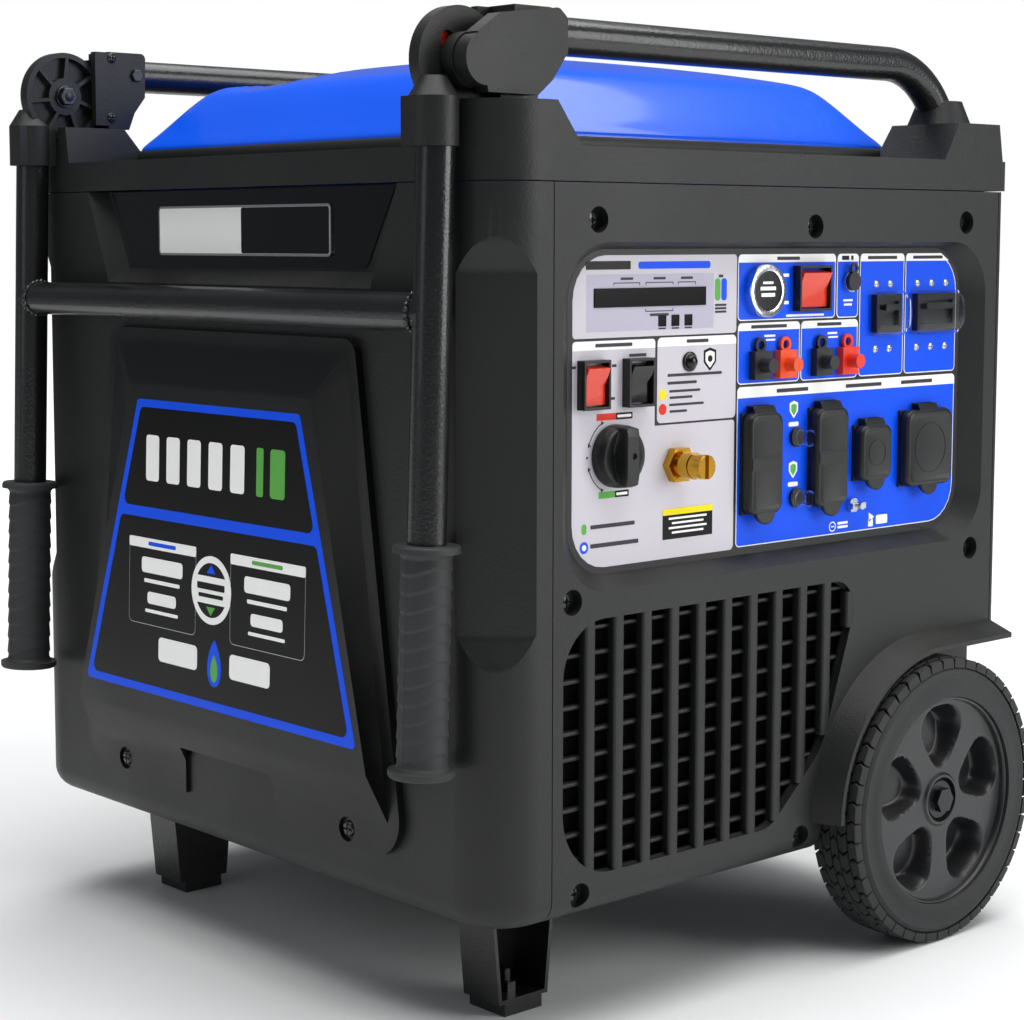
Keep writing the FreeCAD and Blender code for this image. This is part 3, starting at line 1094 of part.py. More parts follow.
# ---------------------------------------------------------------- build, check and write
base_frame()
front_shell()
access_cover()
control_side_panel()
far_side_panel()
rear_panel()
top_cover()
fuel_tank()
fuel_cap()
intake_grille()
control_panel()
foot_brackets()
foot_pads()
wheel_axle()
top_rails()
rail_end_covers()
hinge_brackets()
fasteners()
handle_frame()
handle_knuckles()
handle_grips()
lock_button()
for side in SIDES:
    tyre(side)
    rim(side)
switch_frames()
for key, label in (("main", "main_rocker"), ("fuel", "fuel_rocker"), ("idle", "idle_rocker")):
    rocker(key, label)
start_ring()
start_button()
display_window()
fuel_knob()
gas_inlet()
gas_inlet_plug()
outlet_bodies()
for label in OUTLETS:
    outlet_cover(label)
terminal_posts()
for label in BOOTS:
    boot(label)
charge_port_cap()
for label in RESETS:
    reset_button(label)
breaker_bases()
for key in BREAKERS:
    breaker_lever(key)
    breaker_cover(key)
engine_block()
stator()
engine_shaft()
muffler()
inverter_module()
battery()

doc.recompute()
failed = [obj.Name for obj in doc.Objects if {"Invalid", "Error"} & set(obj.State)]
broken = [obj.Label for obj in NODES if obj.Shape.isNull() or not obj.Shape.isValid()]
if failed or broken:
    raise SystemExit(f"failed objects: {failed}; bad shapes: {broken}")
os.makedirs("parts", exist_ok=True)
for obj in NODES:
    obj.Shape.exportStep(f"parts/{obj.Label}.step")
    size = obj.Shape.BoundBox
    print(f"{obj.Label:24s} solids {len(obj.Shape.Solids):2d}  "
          f"x {size.XMin:7.1f} {size.XMax:7.1f}  y {size.YMin:7.1f} {size.YMax:7.1f}  "
          f"z {size.ZMin:6.1f} {size.ZMax:6.1f}")
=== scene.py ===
# %% [markdown]
# # A portable inverter generator, lesson by lesson
# The machine's frame is a finished CAD model that moves on its joints. Here it gets its looks: fine
# parts that CAD only blocks in, and a finish for every surface. Each step below says what the part is
# on the real machine, how it could be made, and why this way was chosen.

import json
import math
import bmesh
import bpy
from mathutils import Matrix, Vector


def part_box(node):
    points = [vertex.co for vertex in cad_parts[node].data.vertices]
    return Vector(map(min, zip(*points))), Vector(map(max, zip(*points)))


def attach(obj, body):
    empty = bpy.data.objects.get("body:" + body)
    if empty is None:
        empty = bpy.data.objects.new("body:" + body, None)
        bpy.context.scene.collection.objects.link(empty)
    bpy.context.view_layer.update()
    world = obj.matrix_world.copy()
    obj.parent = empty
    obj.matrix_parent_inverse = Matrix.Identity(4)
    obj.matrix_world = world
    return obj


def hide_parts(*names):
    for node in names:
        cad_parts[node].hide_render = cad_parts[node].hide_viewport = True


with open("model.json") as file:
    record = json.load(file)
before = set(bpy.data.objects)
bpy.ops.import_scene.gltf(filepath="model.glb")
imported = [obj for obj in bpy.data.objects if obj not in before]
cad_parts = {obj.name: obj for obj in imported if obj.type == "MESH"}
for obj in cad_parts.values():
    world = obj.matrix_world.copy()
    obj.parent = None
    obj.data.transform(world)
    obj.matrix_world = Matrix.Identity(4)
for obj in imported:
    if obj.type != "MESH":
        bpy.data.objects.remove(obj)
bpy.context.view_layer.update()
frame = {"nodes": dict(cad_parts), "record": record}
MM = 0.001
CASE_MIDDLE = (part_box("front_shell")[0].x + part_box("rear_panel")[1].x) / 2

# %% [markdown]
# ## Places and colours
# Everything is measured as a maker would: millimetres from the middle of the case and from the floor.
# The places that the fine parts sit on are read from the CAD pieces, so they land on their neighbours.

# %% Places
PLATE_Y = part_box("control_panel")[0].y / MM
SIDE_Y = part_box("front_shell")[0].y / MM
END_X = (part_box("front_shell")[0].x - CASE_MIDDLE) / MM
print("panel plate at", round(PLATE_Y, 1), "side at", round(SIDE_Y, 1), "front end at", round(END_X, 1))


# %% Colours, angles and new objects
def tone(code):
    """Linear colour from a paint-chart code such as "2b2d2f"."""
    channels = [int(code[i:i + 2], 16) / 255 for i in (0, 2, 4)]
    linear = [c / 12.92 if c <= 0.04045 else ((c + 0.055) / 1.055) ** 2.4 for c in channels]
    return (*linear, 1.0)


def turns(count):
    """Angles of a full turn, in equal steps."""
    return [math.tau * k / count for k in range(count)]


def new_object(name, data):
    """Object linked into the scene."""
    obj = bpy.data.objects.new(name, data)
    bpy.context.scene.collection.objects.link(obj)
    return obj


# %% [markdown]
# ## Finishes
# Moulded plastic is never flat black: the tool leaves a fine grain, the melt flows in soft patches, and
# dust settles on what looks up. Those effects are shared by many finishes, so each is a shader node
# group, built once, and every material sets its own amounts.

# %% Node-group helper
def effect_group(name, inputs, outputs):
    """Empty shader group with named float inputs and outputs, its input node and its output node."""
    group = bpy.data.node_groups.new(name, "ShaderNodeTree")
    for label, value in inputs.items():
        socket = group.interface.new_socket(label, in_out="INPUT", socket_type="NodeSocketFloat")
        socket.default_value = value
    for label in outputs:
        group.interface.new_socket(label, in_out="OUTPUT", socket_type="NodeSocketFloat")
    return group, group.nodes.new("NodeGroupInput"), group.nodes.new("NodeGroupOutput")


def node_in(tree, kind, **settings):
    """New node with its properties, and its input sockets by name or number, set."""
    node = tree.nodes.new(kind)
    for key, value in settings.items():
        if hasattr(node, key):
            setattr(node, key, value)
        else:
            node.inputs[key.replace("_", " ")].default_value = value
    return node


def maths(tree, operation, a, b):
    """Math node; each side is a socket or a number."""
    node = node_in(tree, "ShaderNodeMath", operation=operation)
    for socket, value in zip(node.inputs, (a, b)):
        if isinstance(value, (int, float)):
            socket.default_value = value
        else:
            tree.links.new(value, socket)
    return node.outputs[0]


def spread(tree, value, low, high, new_low, new_high):
    """Map Range node between four numbers."""
    node = node_in(tree, "ShaderNodeMapRange")
    for socket, number in zip(node.inputs[1:5], (low, high, new_low, new_high)):
        socket.default_value = number
    tree.links.new(value, node.inputs[0])
    return node.outputs[0]


# %% Grain: the tool's fine texture, and soft patches of flow
grain, g_in, g_out = effect_group("Moulded grain", {"Grain Size": 900.0, "Patch Size": 7.0}, ("Height", "Patches"))
where = node_in(grain, "ShaderNodeTexCoord").outputs["Object"]
fine = node_in(grain, "ShaderNodeTexVoronoi", feature="SMOOTH_F1")
rough = node_in(grain, "ShaderNodeTexNoise", Detail=3.0)
patch = node_in(grain, "ShaderNodeTexNoise", Detail=4.0, Roughness=0.6)
for texture in (fine, rough, patch):
    grain.links.new(where, texture.inputs["Vector"])
grain.links.new(g_in.outputs["Grain Size"], fine.inputs["Scale"])
grain.links.new(maths(grain, "MULTIPLY", g_in.outputs["Grain Size"], 0.31), rough.inputs["Scale"])
grain.links.new(g_in.outputs["Patch Size"], patch.inputs["Scale"])
grain.links.new(maths(grain, "ADD", fine.outputs["Distance"], rough.outputs["Fac"]), g_out.inputs["Height"])
grain.links.new(patch.outputs["Fac"], g_out.inputs["Patches"])

# %% Dust: settles on faces that look up, thicker in soft drifts
dust, d_in, d_out = effect_group("Settled dust", {"Drift Size": 12.0}, ("Mask",))
coords = node_in(dust, "ShaderNodeTexCoord")
drift = node_in(dust, "ShaderNodeTexNoise", Detail=5.0, Roughness=0.65)
parts = node_in(dust, "ShaderNodeSeparateXYZ")
dust.links.new(coords.outputs["Object"], drift.inputs["Vector"])
dust.links.new(d_in.outputs["Drift Size"], drift.inputs["Scale"])
dust.links.new(coords.outputs["Normal"], parts.inputs[0])
upward = spread(dust, parts.outputs["Z"], 0.35, 1.0, 0.0, 1.0)
drifts = spread(dust, drift.outputs["Fac"], 0.35, 0.75, 0.0, 1.0)
dust.links.new(maths(dust, "MULTIPLY", upward, drifts), d_out.inputs["Mask"])

# %% Scuffs: short fine scratches from handling
scuffs, s_in, s_out = effect_group("Handling scuffs", {"Scuff Size": 60.0}, ("Mask",))
where = node_in(scuffs, "ShaderNodeTexCoord").outputs["Object"]
stretch = node_in(scuffs, "ShaderNodeMapping")
stretch.inputs["Scale"].default_value = (1.0, 0.8, 7.0)
stretch.inputs["Rotation"].default_value = (0.4, 0.3, 0.2)
lines = node_in(scuffs, "ShaderNodeTexNoise", Detail=6.0, Roughness=0.7)
scuffs.links.new(where, stretch.inputs["Vector"])
scuffs.links.new(stretch.outputs["Vector"], lines.inputs["Vector"])
scuffs.links.new(s_in.outputs["Scuff Size"], lines.inputs["Scale"])
scuffs.links.new(spread(scuffs, lines.outputs["Fac"], 0.62, 0.7, 0.0, 1.0), s_out.inputs["Mask"])
print("effects:", grain.name, dust.name, scuffs.name)

# %% [markdown]
# A finish joins the effects to one Principled shader. Patches vary the colour and the roughness a
# little, dust lightens what looks up, scuffs roughen, and the grain goes to a Bump node.

# %% The recipe for an opaque finish
PATCH_SIZE = 7.0
COAT_ROUGHNESS = 0.06
GRAIN_HEIGHT = 0.0004
DUST_COLOUR = tone("b9b4aa")


def effect(tree, group, **amounts):
    """Node of a shared effect, with its amounts set."""
    node = tree.nodes.new("ShaderNodeGroup")
    node.node_tree = group
    for key, value in amounts.items():
        node.inputs[key.replace("_", " ")].default_value = value
    return node


def tint(tree, mask, below, above):
    """Mix of two colours by a mask; each side is a socket or a colour."""
    node = node_in(tree, "ShaderNodeMix", data_type="RGBA")
    tree.links.new(mask, node.inputs["Factor"])
    for socket, value in ((node.inputs[6], below), (node.inputs[7], above)):
        if isinstance(value, tuple):
            socket.default_value = value
        else:
            tree.links.new(value, socket)
    return node.outputs[2]


def opaque(name, colour, roughness, grain_size=900.0, grain_depth=0.05, patch=0.18, dusty=0.06, scuffed=0.3,
           metallic=0.0, coat=0.0, specular=0.5):
    """Material with grain, patches, dust and scuffs around one colour."""
    material = bpy.data.materials.new(name)
    material.use_nodes = True
    tree = material.node_tree
    shader = tree.nodes["Principled BSDF"]
    shader.inputs["Metallic"].default_value = metallic
    shader.inputs["Coat Weight"].default_value = coat
    shader.inputs["Coat Roughness"].default_value = COAT_ROUGHNESS
    shader.inputs["Specular IOR Level"].default_value = specular
    skin = effect(tree, grain, Grain_Size=grain_size, Patch_Size=PATCH_SIZE)
    fall = effect(tree, dust)
    marks = effect(tree, scuffs)
    dark = tuple(c * (1 - patch) for c in tone(colour)[:3]) + (1.0,)
    light = tuple(min(1.0, c * (1 + patch)) for c in tone(colour)[:3]) + (1.0,)
    base = tint(tree, skin.outputs["Patches"], dark, light)
    powder = maths(tree, "MULTIPLY", fall.outputs["Mask"], dusty)
    tree.links.new(tint(tree, powder, base, DUST_COLOUR), shader.inputs["Base Color"])
    marked = maths(tree, "MULTIPLY", marks.outputs["Mask"], scuffed * 0.25)
    uneven = spread(tree, skin.outputs["Patches"], 0.3, 0.7, roughness - 0.05, roughness + 0.05)
    tree.links.new(maths(tree, "ADD", uneven, marked), shader.inputs["Roughness"])
    bump = node_in(tree, "ShaderNodeBump", Strength=min(1.0, grain_depth * 4), Distance=GRAIN_HEIGHT)
    tree.links.new(skin.outputs["Height"], bump.inputs["Height"])
    tree.links.new(bump.outputs["Normal"], shader.inputs["Normal"])
    return material


# %% Plastics, paints, rubbers and metals
FINISH = {
    "black_plastic": opaque("Satin case plastic", "191a1a", 0.46, grain_depth=0.09, specular=0.4),
    "cover_plastic": opaque("Dark cover plastic", "0b0c0d", 0.38, grain_depth=0.06, specular=0.35),
    "blue_paint": opaque("Blue tank enamel", "0058ee", 0.24, 220.0, 0.01, 0.05, 0.0, 0.1, coat=0.35, specular=0.3),
    "black_paint": opaque("Black powder coat", "0e0f10", 0.3, 500.0, 0.12, 0.1, 0.04, 0.3, coat=0.25),
    "panel_plastic": opaque("Black fitting plastic", "151617", 0.4, grain_depth=0.05, specular=0.4),
    "grip_rubber": opaque("Ribbed grip rubber", "2a2b2c", 0.62, 1200.0, 0.1, 0.2, 0.1, 0.5),
    "tyre_rubber": opaque("Tyre rubber", "1e1f20", 0.68, 700.0, 0.14, 0.25, 0.14, 0.5),
    "foot_rubber": opaque("Foot pad rubber", "202122", 0.7, 800.0, 0.12, 0.2, 0.12, 0.5),
    "rim_plastic": opaque("Satin wheel plastic", "1b1c1e", 0.34, grain_depth=0.05),
    "bright_steel": opaque("Zinc-plated steel", "c9ccce", 0.26, 600.0, 0.05, 0.12, 0.04, 0.5, metallic=1.0),
    "chrome_ring": opaque("Polished chrome", "dfe2e6", 0.1, 400.0, 0.01, 0.04, 0.02, 0.2, metallic=1.0),
    "brass": opaque("Machined brass", "c99a35", 0.22, 500.0, 0.04, 0.12, 0.02, 0.4, metallic=1.0),
    "red_plastic": opaque("Red rocker plastic", "e0330f", 0.28, 900.0, 0.02, 0.06, 0.02, 0.2, coat=0.4),
    "black_gloss": opaque("Gloss black plastic", "070708", 0.18, 900.0, 0.01, 0.08, 0.02, 0.2, coat=0.25,
                          specular=0.3),
    "orange_rubber": opaque("Orange boot rubber", "f04c10", 0.5, 900.0, 0.06, 0.08, 0.04, 0.3),
    "red_rubber": opaque("Red boot rubber", "e63010", 0.5, 900.0, 0.06, 0.08, 0.04, 0.3),
    "black_rubber": opaque("Black boot rubber", "161718", 0.55, 900.0, 0.06, 0.12, 0.05, 0.4),
    "display_black": opaque("Display glass", "030304", 0.3, 900.0, 0.0, 0.05, 0.0, 0.1, specular=0.1),
    "cast_aluminium": opaque("Cast aluminium", "8e9092", 0.5, 300.0, 0.2, 0.15, 0.1, 0.5, metallic=1.0),
    "steel_core": opaque("Dark machined steel", "3c3e40", 0.38, 400.0, 0.08, 0.15, 0.05, 0.5, metallic=1.0),
}
print(len(FINISH), "opaque finishes")

# %% [markdown]
# Clear covers are thin hard plastic. Glass keeps a plain Transmission Weight, and only its roughness
# and a faint ripple vary, so that it stays clear and still catches the light unevenly.

# %% Clear plastic
CLEAR_IOR = 1.12


def clear(name, colour, roughness):
    """See-through material with a faint ripple."""
    material = bpy.data.materials.new(name)
    material.use_nodes = True
    tree = material.node_tree
    shader = tree.nodes["Principled BSDF"]
    shader.inputs["Transmission Weight"].default_value = 1.0
    shader.inputs["IOR"].default_value = CLEAR_IOR
    skin = effect(tree, grain, Grain_Size=90.0, Patch_Size=40.0)
    tree.links.new(tint(tree, skin.outputs["Patches"], tone(colour), tone("ffffff")), shader.inputs["Base Color"])
    tree.links.new(spread(tree, skin.outputs["Patches"], 0.3, 0.7, roughness, roughness + 0.05),
                   shader.inputs["Roughness"])
    bump = node_in(tree, "ShaderNodeBump", Strength=0.1, Distance=0.0003)
    tree.links.new(skin.outputs["Height"], bump.inputs["Height"])
    tree.links.new(bump.outputs["Normal"], shader.inputs["Normal"])
    return material


FINISH["clear_plastic"] = clear("Clear cover plastic", "f2f6fa", 0.04)
slot_of = {part["node"]: part["material_slot"] for part in frame["record"]["subparts"]}
print("slots in use", len(set(slot_of.values())))

# %% [markdown]
# ## The CAD pieces
# CAD edges are perfectly sharp, while a moulded or folded edge has a small radius that catches the
# light. A weld joins the loose triangles, a bevel rounds the edges and weighted normals keep the flat
# faces flat. The modifiers stay live, so the CAD mesh itself is untouched.

# %% Round the edges and give every CAD node its finish
EDGE = {"front_shell": 1.6, "top_cover": 1.6, "control_side_panel": 1.3, "far_side_panel": 1.3, "rear_panel": 1.5,
        "access_cover": 1.8, "intake_grille": 1.0, "hinge_brackets": 0.9, "handle_knuckles": 1.0,
        "rail_end_covers": 1.4, "foot_brackets": 0.5, "foot_pads": 0.8, "base_frame": 0.6}
SMALL_EDGE = 0.45
SHARP = math.radians(28)


def soften(obj, width):
    """Live modifiers that give an object's sharp edges a small radius."""
    weld = obj.modifiers.new("Weld", "WELD")
    weld.merge_threshold = 0.01 * MM
    bevel = obj.modifiers.new("Edge radius", "BEVEL")
    bevel.width = width * MM
    bevel.segments = 2
    bevel.limit_method = "ANGLE"
    bevel.angle_limit = SHARP
    bevel.use_clamp_overlap = True
    normals = obj.modifiers.new("Weighted normals", "WEIGHTED_NORMAL")
    normals.keep_sharp = False


# The axle's ends are blackened, though the rest of its slot is bright.
BLACKENED = {"wheel_axle": "steel_core"}
for name, obj in frame["nodes"].items():
    obj.data.materials.clear()
    obj.data.materials.append(FINISH[BLACKENED.get(name, slot_of[name])])
    soften(obj, EDGE.get(name, SMALL_EDGE))
print("finished CAD nodes:", len(frame["nodes"]))

# %% [markdown]
# ## Mesh helpers
# The fine parts are built in millimetres, from the case's middle, and one helper turns a finished
# bmesh into an object: it closes it, points its faces outwards, scales it into the frame, and shades
# smooth only where the angle between faces is small.

# %% From bmesh to piece
TO_FRAME = Matrix.Translation((CASE_MIDDLE, 0, 0)) @ Matrix.Scale(MM, 4)
CREASE = 32.0
TOUCHING = 0.0005
ALONG_Y = Vector((0, 1, 0))


def finish_piece(name, shape, body, slot, *materials, crease=CREASE, node=None, mirror=False):
    """Object from a bmesh in millimetres, riding on a body; with mirror it is flipped to the far side."""
    if mirror:
        bmesh.ops.scale(shape, vec=(1, -1, 1), verts=shape.verts)
    bmesh.ops.remove_doubles(shape, verts=shape.verts, dist=TOUCHING)
    bmesh.ops.recalc_face_normals(shape, faces=shape.faces)
    bmesh.ops.transform(shape, matrix=TO_FRAME, verts=shape.verts)
    mesh = bpy.data.meshes.new(name)
    shape.to_mesh(mesh)
    shape.free()
    return adopt(name, mesh, body, slot, *materials, crease=crease, node=node)


def adopt(name, mesh, body, slot, *materials, crease=CREASE, node=None):
    """Object from a mesh in the frame's metres; its finish is its slot's unless materials are given."""
    obj = new_object(name, mesh)
    for material in materials or (FINISH[slot],):
        if material.name not in mesh.materials:
            mesh.materials.append(material)
    for face in mesh.polygons:
        face.use_smooth = True
    mesh.set_sharp_from_angle(angle=math.radians(crease))
    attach(obj, body)
    if node:
        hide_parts(*([node] if isinstance(node, str) else node))
    print(f"{name}: {len(mesh.polygons)} faces")
    return obj


# %% Rounded outlines and skins
def rounded(corners, steps=6):
    """Closed outline through corners (u, v, radius), each rounded by an arc."""
    outline = []
    for i, (u, v, radius) in enumerate(corners):
        here = Vector((u, v))
        before = (Vector(corners[i - 1][:2]) - here).normalized()
        after = (Vector(corners[(i + 1) % len(corners)][:2]) - here).normalized()
        half = before.angle(after) / 2
        if radius < 0.01:
            outline.append(here)
            continue
        reach = radius / math.tan(half)
        centre = here + (before + after).normalized() * radius / math.sin(half)
        start, end = here + before * reach - centre, here + after * reach - centre
        sweep = start.angle_signed(end)
        for k in range(steps + 1):
            outline.append(centre + Matrix.Rotation(-sweep * k / steps, 2) @ start)
    return outline


def oblong(u0, u1, v0, v1, radius, steps=6):
    """Rectangle with rounded corners."""
    return rounded(((u0, v0, radius), (u1, v0, radius), (u1, v1, radius), (u0, v1, radius)), steps)


def skin_rings(shape, rings, caps=(True, True)):
    """Quads between neighbouring closed rings of points, with a face over each end."""
    rows = [[shape.verts.new(point) for point in ring] for ring in rings]
    count = len(rows[0])
    for low, high in zip(rows, rows[1:]):
        for i in range(count):
            shape.faces.new((low[i], low[(i + 1) % count], high[(i + 1) % count], high[i]))
    for row, wanted in zip((rows[0], rows[-1]), caps):
        if wanted:
            shape.faces.new(row)
    return rows


def prism(shape, outline, to_space, low, high, material=0):
    """Closed plate over an outline, between two heights of to_space(u, v, height)."""
    first = len(shape.faces)
    skin_rings(shape, [[to_space(p.x, p.y, h) for p in outline] for h in (low, high)])
    shape.faces.ensure_lookup_table()
    for face in shape.faces[first:]:
        face.material_index = material


def on_plate(u, v, h):
    """Point on the control panel: along x, up z, and h millimetres out of its plate."""
    return Vector((u, PLATE_Y - h, v))


def on_side(u, v, h):
    """Point on the control side of the case, placed like one on the panel."""
    return Vector((u, SIDE_Y - h, v))


# %% [markdown]
# ## The fuel tank
# Pressed steel with a crowned top and soft shoulders. Lofting rounded rectangles whose inset follows a
# smooth profile gives one even surface with no facets, which the gloss of the enamel would show.

# %% Tank surface
TANK_LOW, TANK_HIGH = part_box("fuel_tank")
TANK_X = ((TANK_LOW.x - CASE_MIDDLE) / MM, (TANK_HIGH.x - CASE_MIDDLE) / MM)
TANK_Y = TANK_HIGH.y / MM
TANK_CORNER, SHOULDER = 26, 700
ARC_STEPS, STRAIGHT_PARTS = 12, 18
PROFILE = ((0, 600), (0, 660), (0, 668), (3, 673), (10, 681), (19, 692), (28, 703), (37, 713),
           (44, 718.5), (52, 722), (66, 725.5), (88, 730), (112, 734), (140, 738), (175, 742), (205, 743.6))


def smooth_profile(points, steps):
    """Catmull-Rom curve through the points."""
    padded = [points[0], *points, points[-1]]
    curve = []
    for a, b, c, d in zip(padded, padded[1:], padded[2:], padded[3:]):
        for k in range(steps):
            t = k / steps
            curve.append(tuple(0.5 * (2 * b[i] + (c[i] - a[i]) * t
                                      + (2 * a[i] - 5 * b[i] + 4 * c[i] - d[i]) * t * t
                                      + (3 * b[i] - a[i] - 3 * c[i] + d[i]) * t ** 3) for i in (0, 1)))
    return curve + [points[-1]]


def ease(value, low, high):
    """Smooth step from 0 at low to 1 at high."""
    t = min(1.0, max(0.0, (value - low) / (high - low)))
    return t * t * (3 - 2 * t)


def pressed(x, y):
    """Depth of the shallow pressing on the tank's crown, near its front far corner."""
    u, v = abs(x + 132) / 62, abs(y - 118) / 52
    return 4.5 * ease(1 - (u ** 4 + v ** 4) ** 0.25, 0.0, 0.16)


tank = bmesh.new()
rings = []
for inset, height in smooth_profile(PROFILE, 4):
    inset = max(0.0, inset)
    sides = (TANK_X[0] + inset, TANK_X[1] - inset, -TANK_Y + inset, TANK_Y - inset)
    radius = min(TANK_CORNER + 0.16 * inset, (sides[1] - sides[0]) / 2 - 1, (sides[3] - sides[2]) / 2 - 1)
    outline = oblong(*sides, radius, ARC_STEPS)
    dense = []
    for i, point in enumerate(outline):
        following = outline[(i + 1) % len(outline)]
        pieces = STRAIGHT_PARTS if (i + 1) % (ARC_STEPS + 1) == 0 else 1
        dense += [point.lerp(following, k / pieces) for k in range(pieces)]
    rings.append([Vector((p.x, p.y, height - (pressed(p.x, p.y) if height > SHOULDER else 0))) for p in dense])
skin_rings(tank, rings)
finish_piece("tank_shell", tank, "root", "blue_paint", crease=50, node="fuel_tank")

# %% [markdown]
# The tank drops through the top cover, and a black rubber gasket closes the gap.

# %% Gasket
GASKET_HEIGHT, GASKET_CORNER = 661, 27
gasket = bmesh.new()
bead = [(1.5 + 3.2 * math.cos(angle), GASKET_HEIGHT + 6.4 * math.sin(angle)) for angle in turns(9)]
loop = []
for out, height in bead:
    outline = oblong(TANK_X[0] - out, TANK_X[1] + out, -TANK_Y - out, TANK_Y + out, GASKET_CORNER + out, 8)
    loop.append([Vector((p.x, p.y, height)) for p in outline])
skin_rings(gasket, loop + [loop[0]], (False, False))
finish_piece("tank_gasket", gasket, "root", "black_rubber")

# %% [markdown]
# ## Copies made by Geometry Nodes
# Three small trees make everything that repeats: a ring of copies for the tyre's tread, copies of a
# screw at given points, and slats along given lines. Each ends in Realize Instances and Set Material,
# and its result is kept as a plain mesh.

# %% Tree helper
def copy_tree(name, inputs):
    """Geometry Nodes tree with named inputs; returns it with its input node and a way to finish it."""
    tree = bpy.data.node_groups.new(name, "GeometryNodeTree")
    tree.interface.new_socket("Geometry", in_out="INPUT", socket_type="NodeSocketGeometry")
    for label, kind in inputs.items():
        tree.interface.new_socket(label, in_out="INPUT", socket_type=kind)
    tree.interface.new_socket("Geometry", in_out="OUTPUT", socket_type="NodeSocketGeometry")
    start, end = tree.nodes.new("NodeGroupInput"), tree.nodes.new("NodeGroupOutput")
    real, paint = tree.nodes.new("GeometryNodeRealizeInstances"), tree.nodes.new("GeometryNodeSetMaterial")
    tree.links.new(real.outputs[0], paint.inputs["Geometry"])
    tree.links.new(start.outputs["Material"], paint.inputs["Material"])
    tree.links.new(paint.outputs[0], end.inputs[0])
    return tree, start, real.inputs[0]


def run_tree(tree, mesh, name, **values):
    """Plain mesh that the tree makes from a start mesh; the modifier's inputs are set by identifier."""
    carrier = new_object(name + "_carrier", mesh)
    modifier = carrier.modifiers.new("Copies", "NODES")
    modifier.node_group = tree
    for item in tree.interface.items_tree:
        if item.in_out == "INPUT" and item.name.replace(" ", "_") in values:
            modifier[item.identifier] = values[item.name.replace(" ", "_")]
    made = bpy.data.meshes.new_from_object(carrier.evaluated_get(bpy.context.evaluated_depsgraph_get()))
    carrier.modifiers.clear()
    bpy.data.objects.remove(carrier)
    made.name = name
    return made


# %% A ring of copies about an axle
ring_tree, start, into = copy_tree("Ring of copies", {"Copies": "NodeSocketInt", "Material": "NodeSocketMaterial"})
spots = node_in(ring_tree, "GeometryNodeMeshLine")
spots.inputs["Offset"].default_value = (0, 0, 0)
place_copies = node_in(ring_tree, "GeometryNodeInstanceOnPoints")
step = maths(ring_tree, "DIVIDE", math.tau, start.outputs["Copies"])
turned = maths(ring_tree, "MULTIPLY", node_in(ring_tree, "GeometryNodeInputIndex").outputs[0], step)
about_axle = node_in(ring_tree, "ShaderNodeCombineXYZ")
ring_tree.links.new(turned, about_axle.inputs["Y"])
ring_tree.links.new(start.outputs["Copies"], spots.inputs["Count"])
ring_tree.links.new(spots.outputs[0], place_copies.inputs["Points"])
ring_tree.links.new(start.outputs["Geometry"], place_copies.inputs["Instance"])
ring_tree.links.new(about_axle.outputs[0], place_copies.inputs["Rotation"])
ring_tree.links.new(place_copies.outputs[0], into)

# %% Copies of one shape at given points
point_tree, start, into = copy_tree("Copies at points", {"Shape": "NodeSocketObject",
                                                          "Material": "NodeSocketMaterial"})
shape_info = node_in(point_tree, "GeometryNodeObjectInfo")
at_points = node_in(point_tree, "GeometryNodeInstanceOnPoints")
point_tree.links.new(start.outputs["Shape"], shape_info.inputs["Object"])
point_tree.links.new(start.outputs["Geometry"], at_points.inputs["Points"])
point_tree.links.new(shape_info.outputs["Geometry"], at_points.inputs["Instance"])
point_tree.links.new(at_points.outputs[0], into)

# %% Slats along given lines
slat_tree, start, into = copy_tree("Slats along lines", {"Width": "NodeSocketFloat", "Depth": "NodeSocketFloat",
                                                        "Edge Radius": "NodeSocketFloat",
                                                        "Material": "NodeSocketMaterial"})
lines_to_curves = node_in(slat_tree, "GeometryNodeMeshToCurve")
section = node_in(slat_tree, "GeometryNodeCurvePrimitiveQuadrilateral")
soft_section = node_in(slat_tree, "GeometryNodeFilletCurve", mode="POLY")
sweep = node_in(slat_tree, "GeometryNodeCurveToMesh")
sweep.inputs["Fill Caps"].default_value = True
soft_section.inputs["Count"].default_value = 3
slat_tree.links.new(start.outputs["Geometry"], lines_to_curves.inputs["Mesh"])
slat_tree.links.new(start.outputs["Width"], section.inputs["Width"])
slat_tree.links.new(start.outputs["Depth"], section.inputs["Height"])
slat_tree.links.new(section.outputs[0], soft_section.inputs["Curve"])
slat_tree.links.new(start.outputs["Edge Radius"], soft_section.inputs["Radius"])
slat_tree.links.new(lines_to_curves.outputs[0], sweep.inputs["Curve"])
slat_tree.links.new(soft_section.outputs[0], sweep.inputs["Profile Curve"])
slat_tree.links.new(sweep.outputs[0], into)
print("trees:", ring_tree.name, point_tree.name, slat_tree.name)

# %% [markdown]
# ## Tyres
# A hard-wearing tyre has rows of blocks: long lugs on each shoulder, and zigzag blocks between them.
# One pitch of the pattern is modelled and the ring tree repeats it, so every block is the same
# low-poly shape. The carcass below is one turned profile.

# %% Carcass and one pitch of tread
TYRE_LOW, TYRE_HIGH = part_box("tyre_near")
WHEEL = Vector(((TYRE_LOW.x + TYRE_HIGH.x) / 2 / MM - CASE_MIDDLE / MM, 0, (TYRE_LOW.z + TYRE_HIGH.z) / 2 / MM))
WHEEL_RADIUS = (TYRE_HIGH.z - TYRE_LOW.z) / 2 / MM
TYRE_OUT, TYRE_IN = TYRE_LOW.y / MM, TYRE_HIGH.y / MM
RIM_RADIUS = (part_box("rim_near")[1].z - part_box("rim_near")[0].z) / 2 / MM
PITCHES = 46


TREAD_DEPTH, TREAD_LEAN, TREAD_EDGE = 8.0, 0.8, 0.7
GROOVE, SIPE = 1.1, 0.3
CARCASS_STEPS = 132


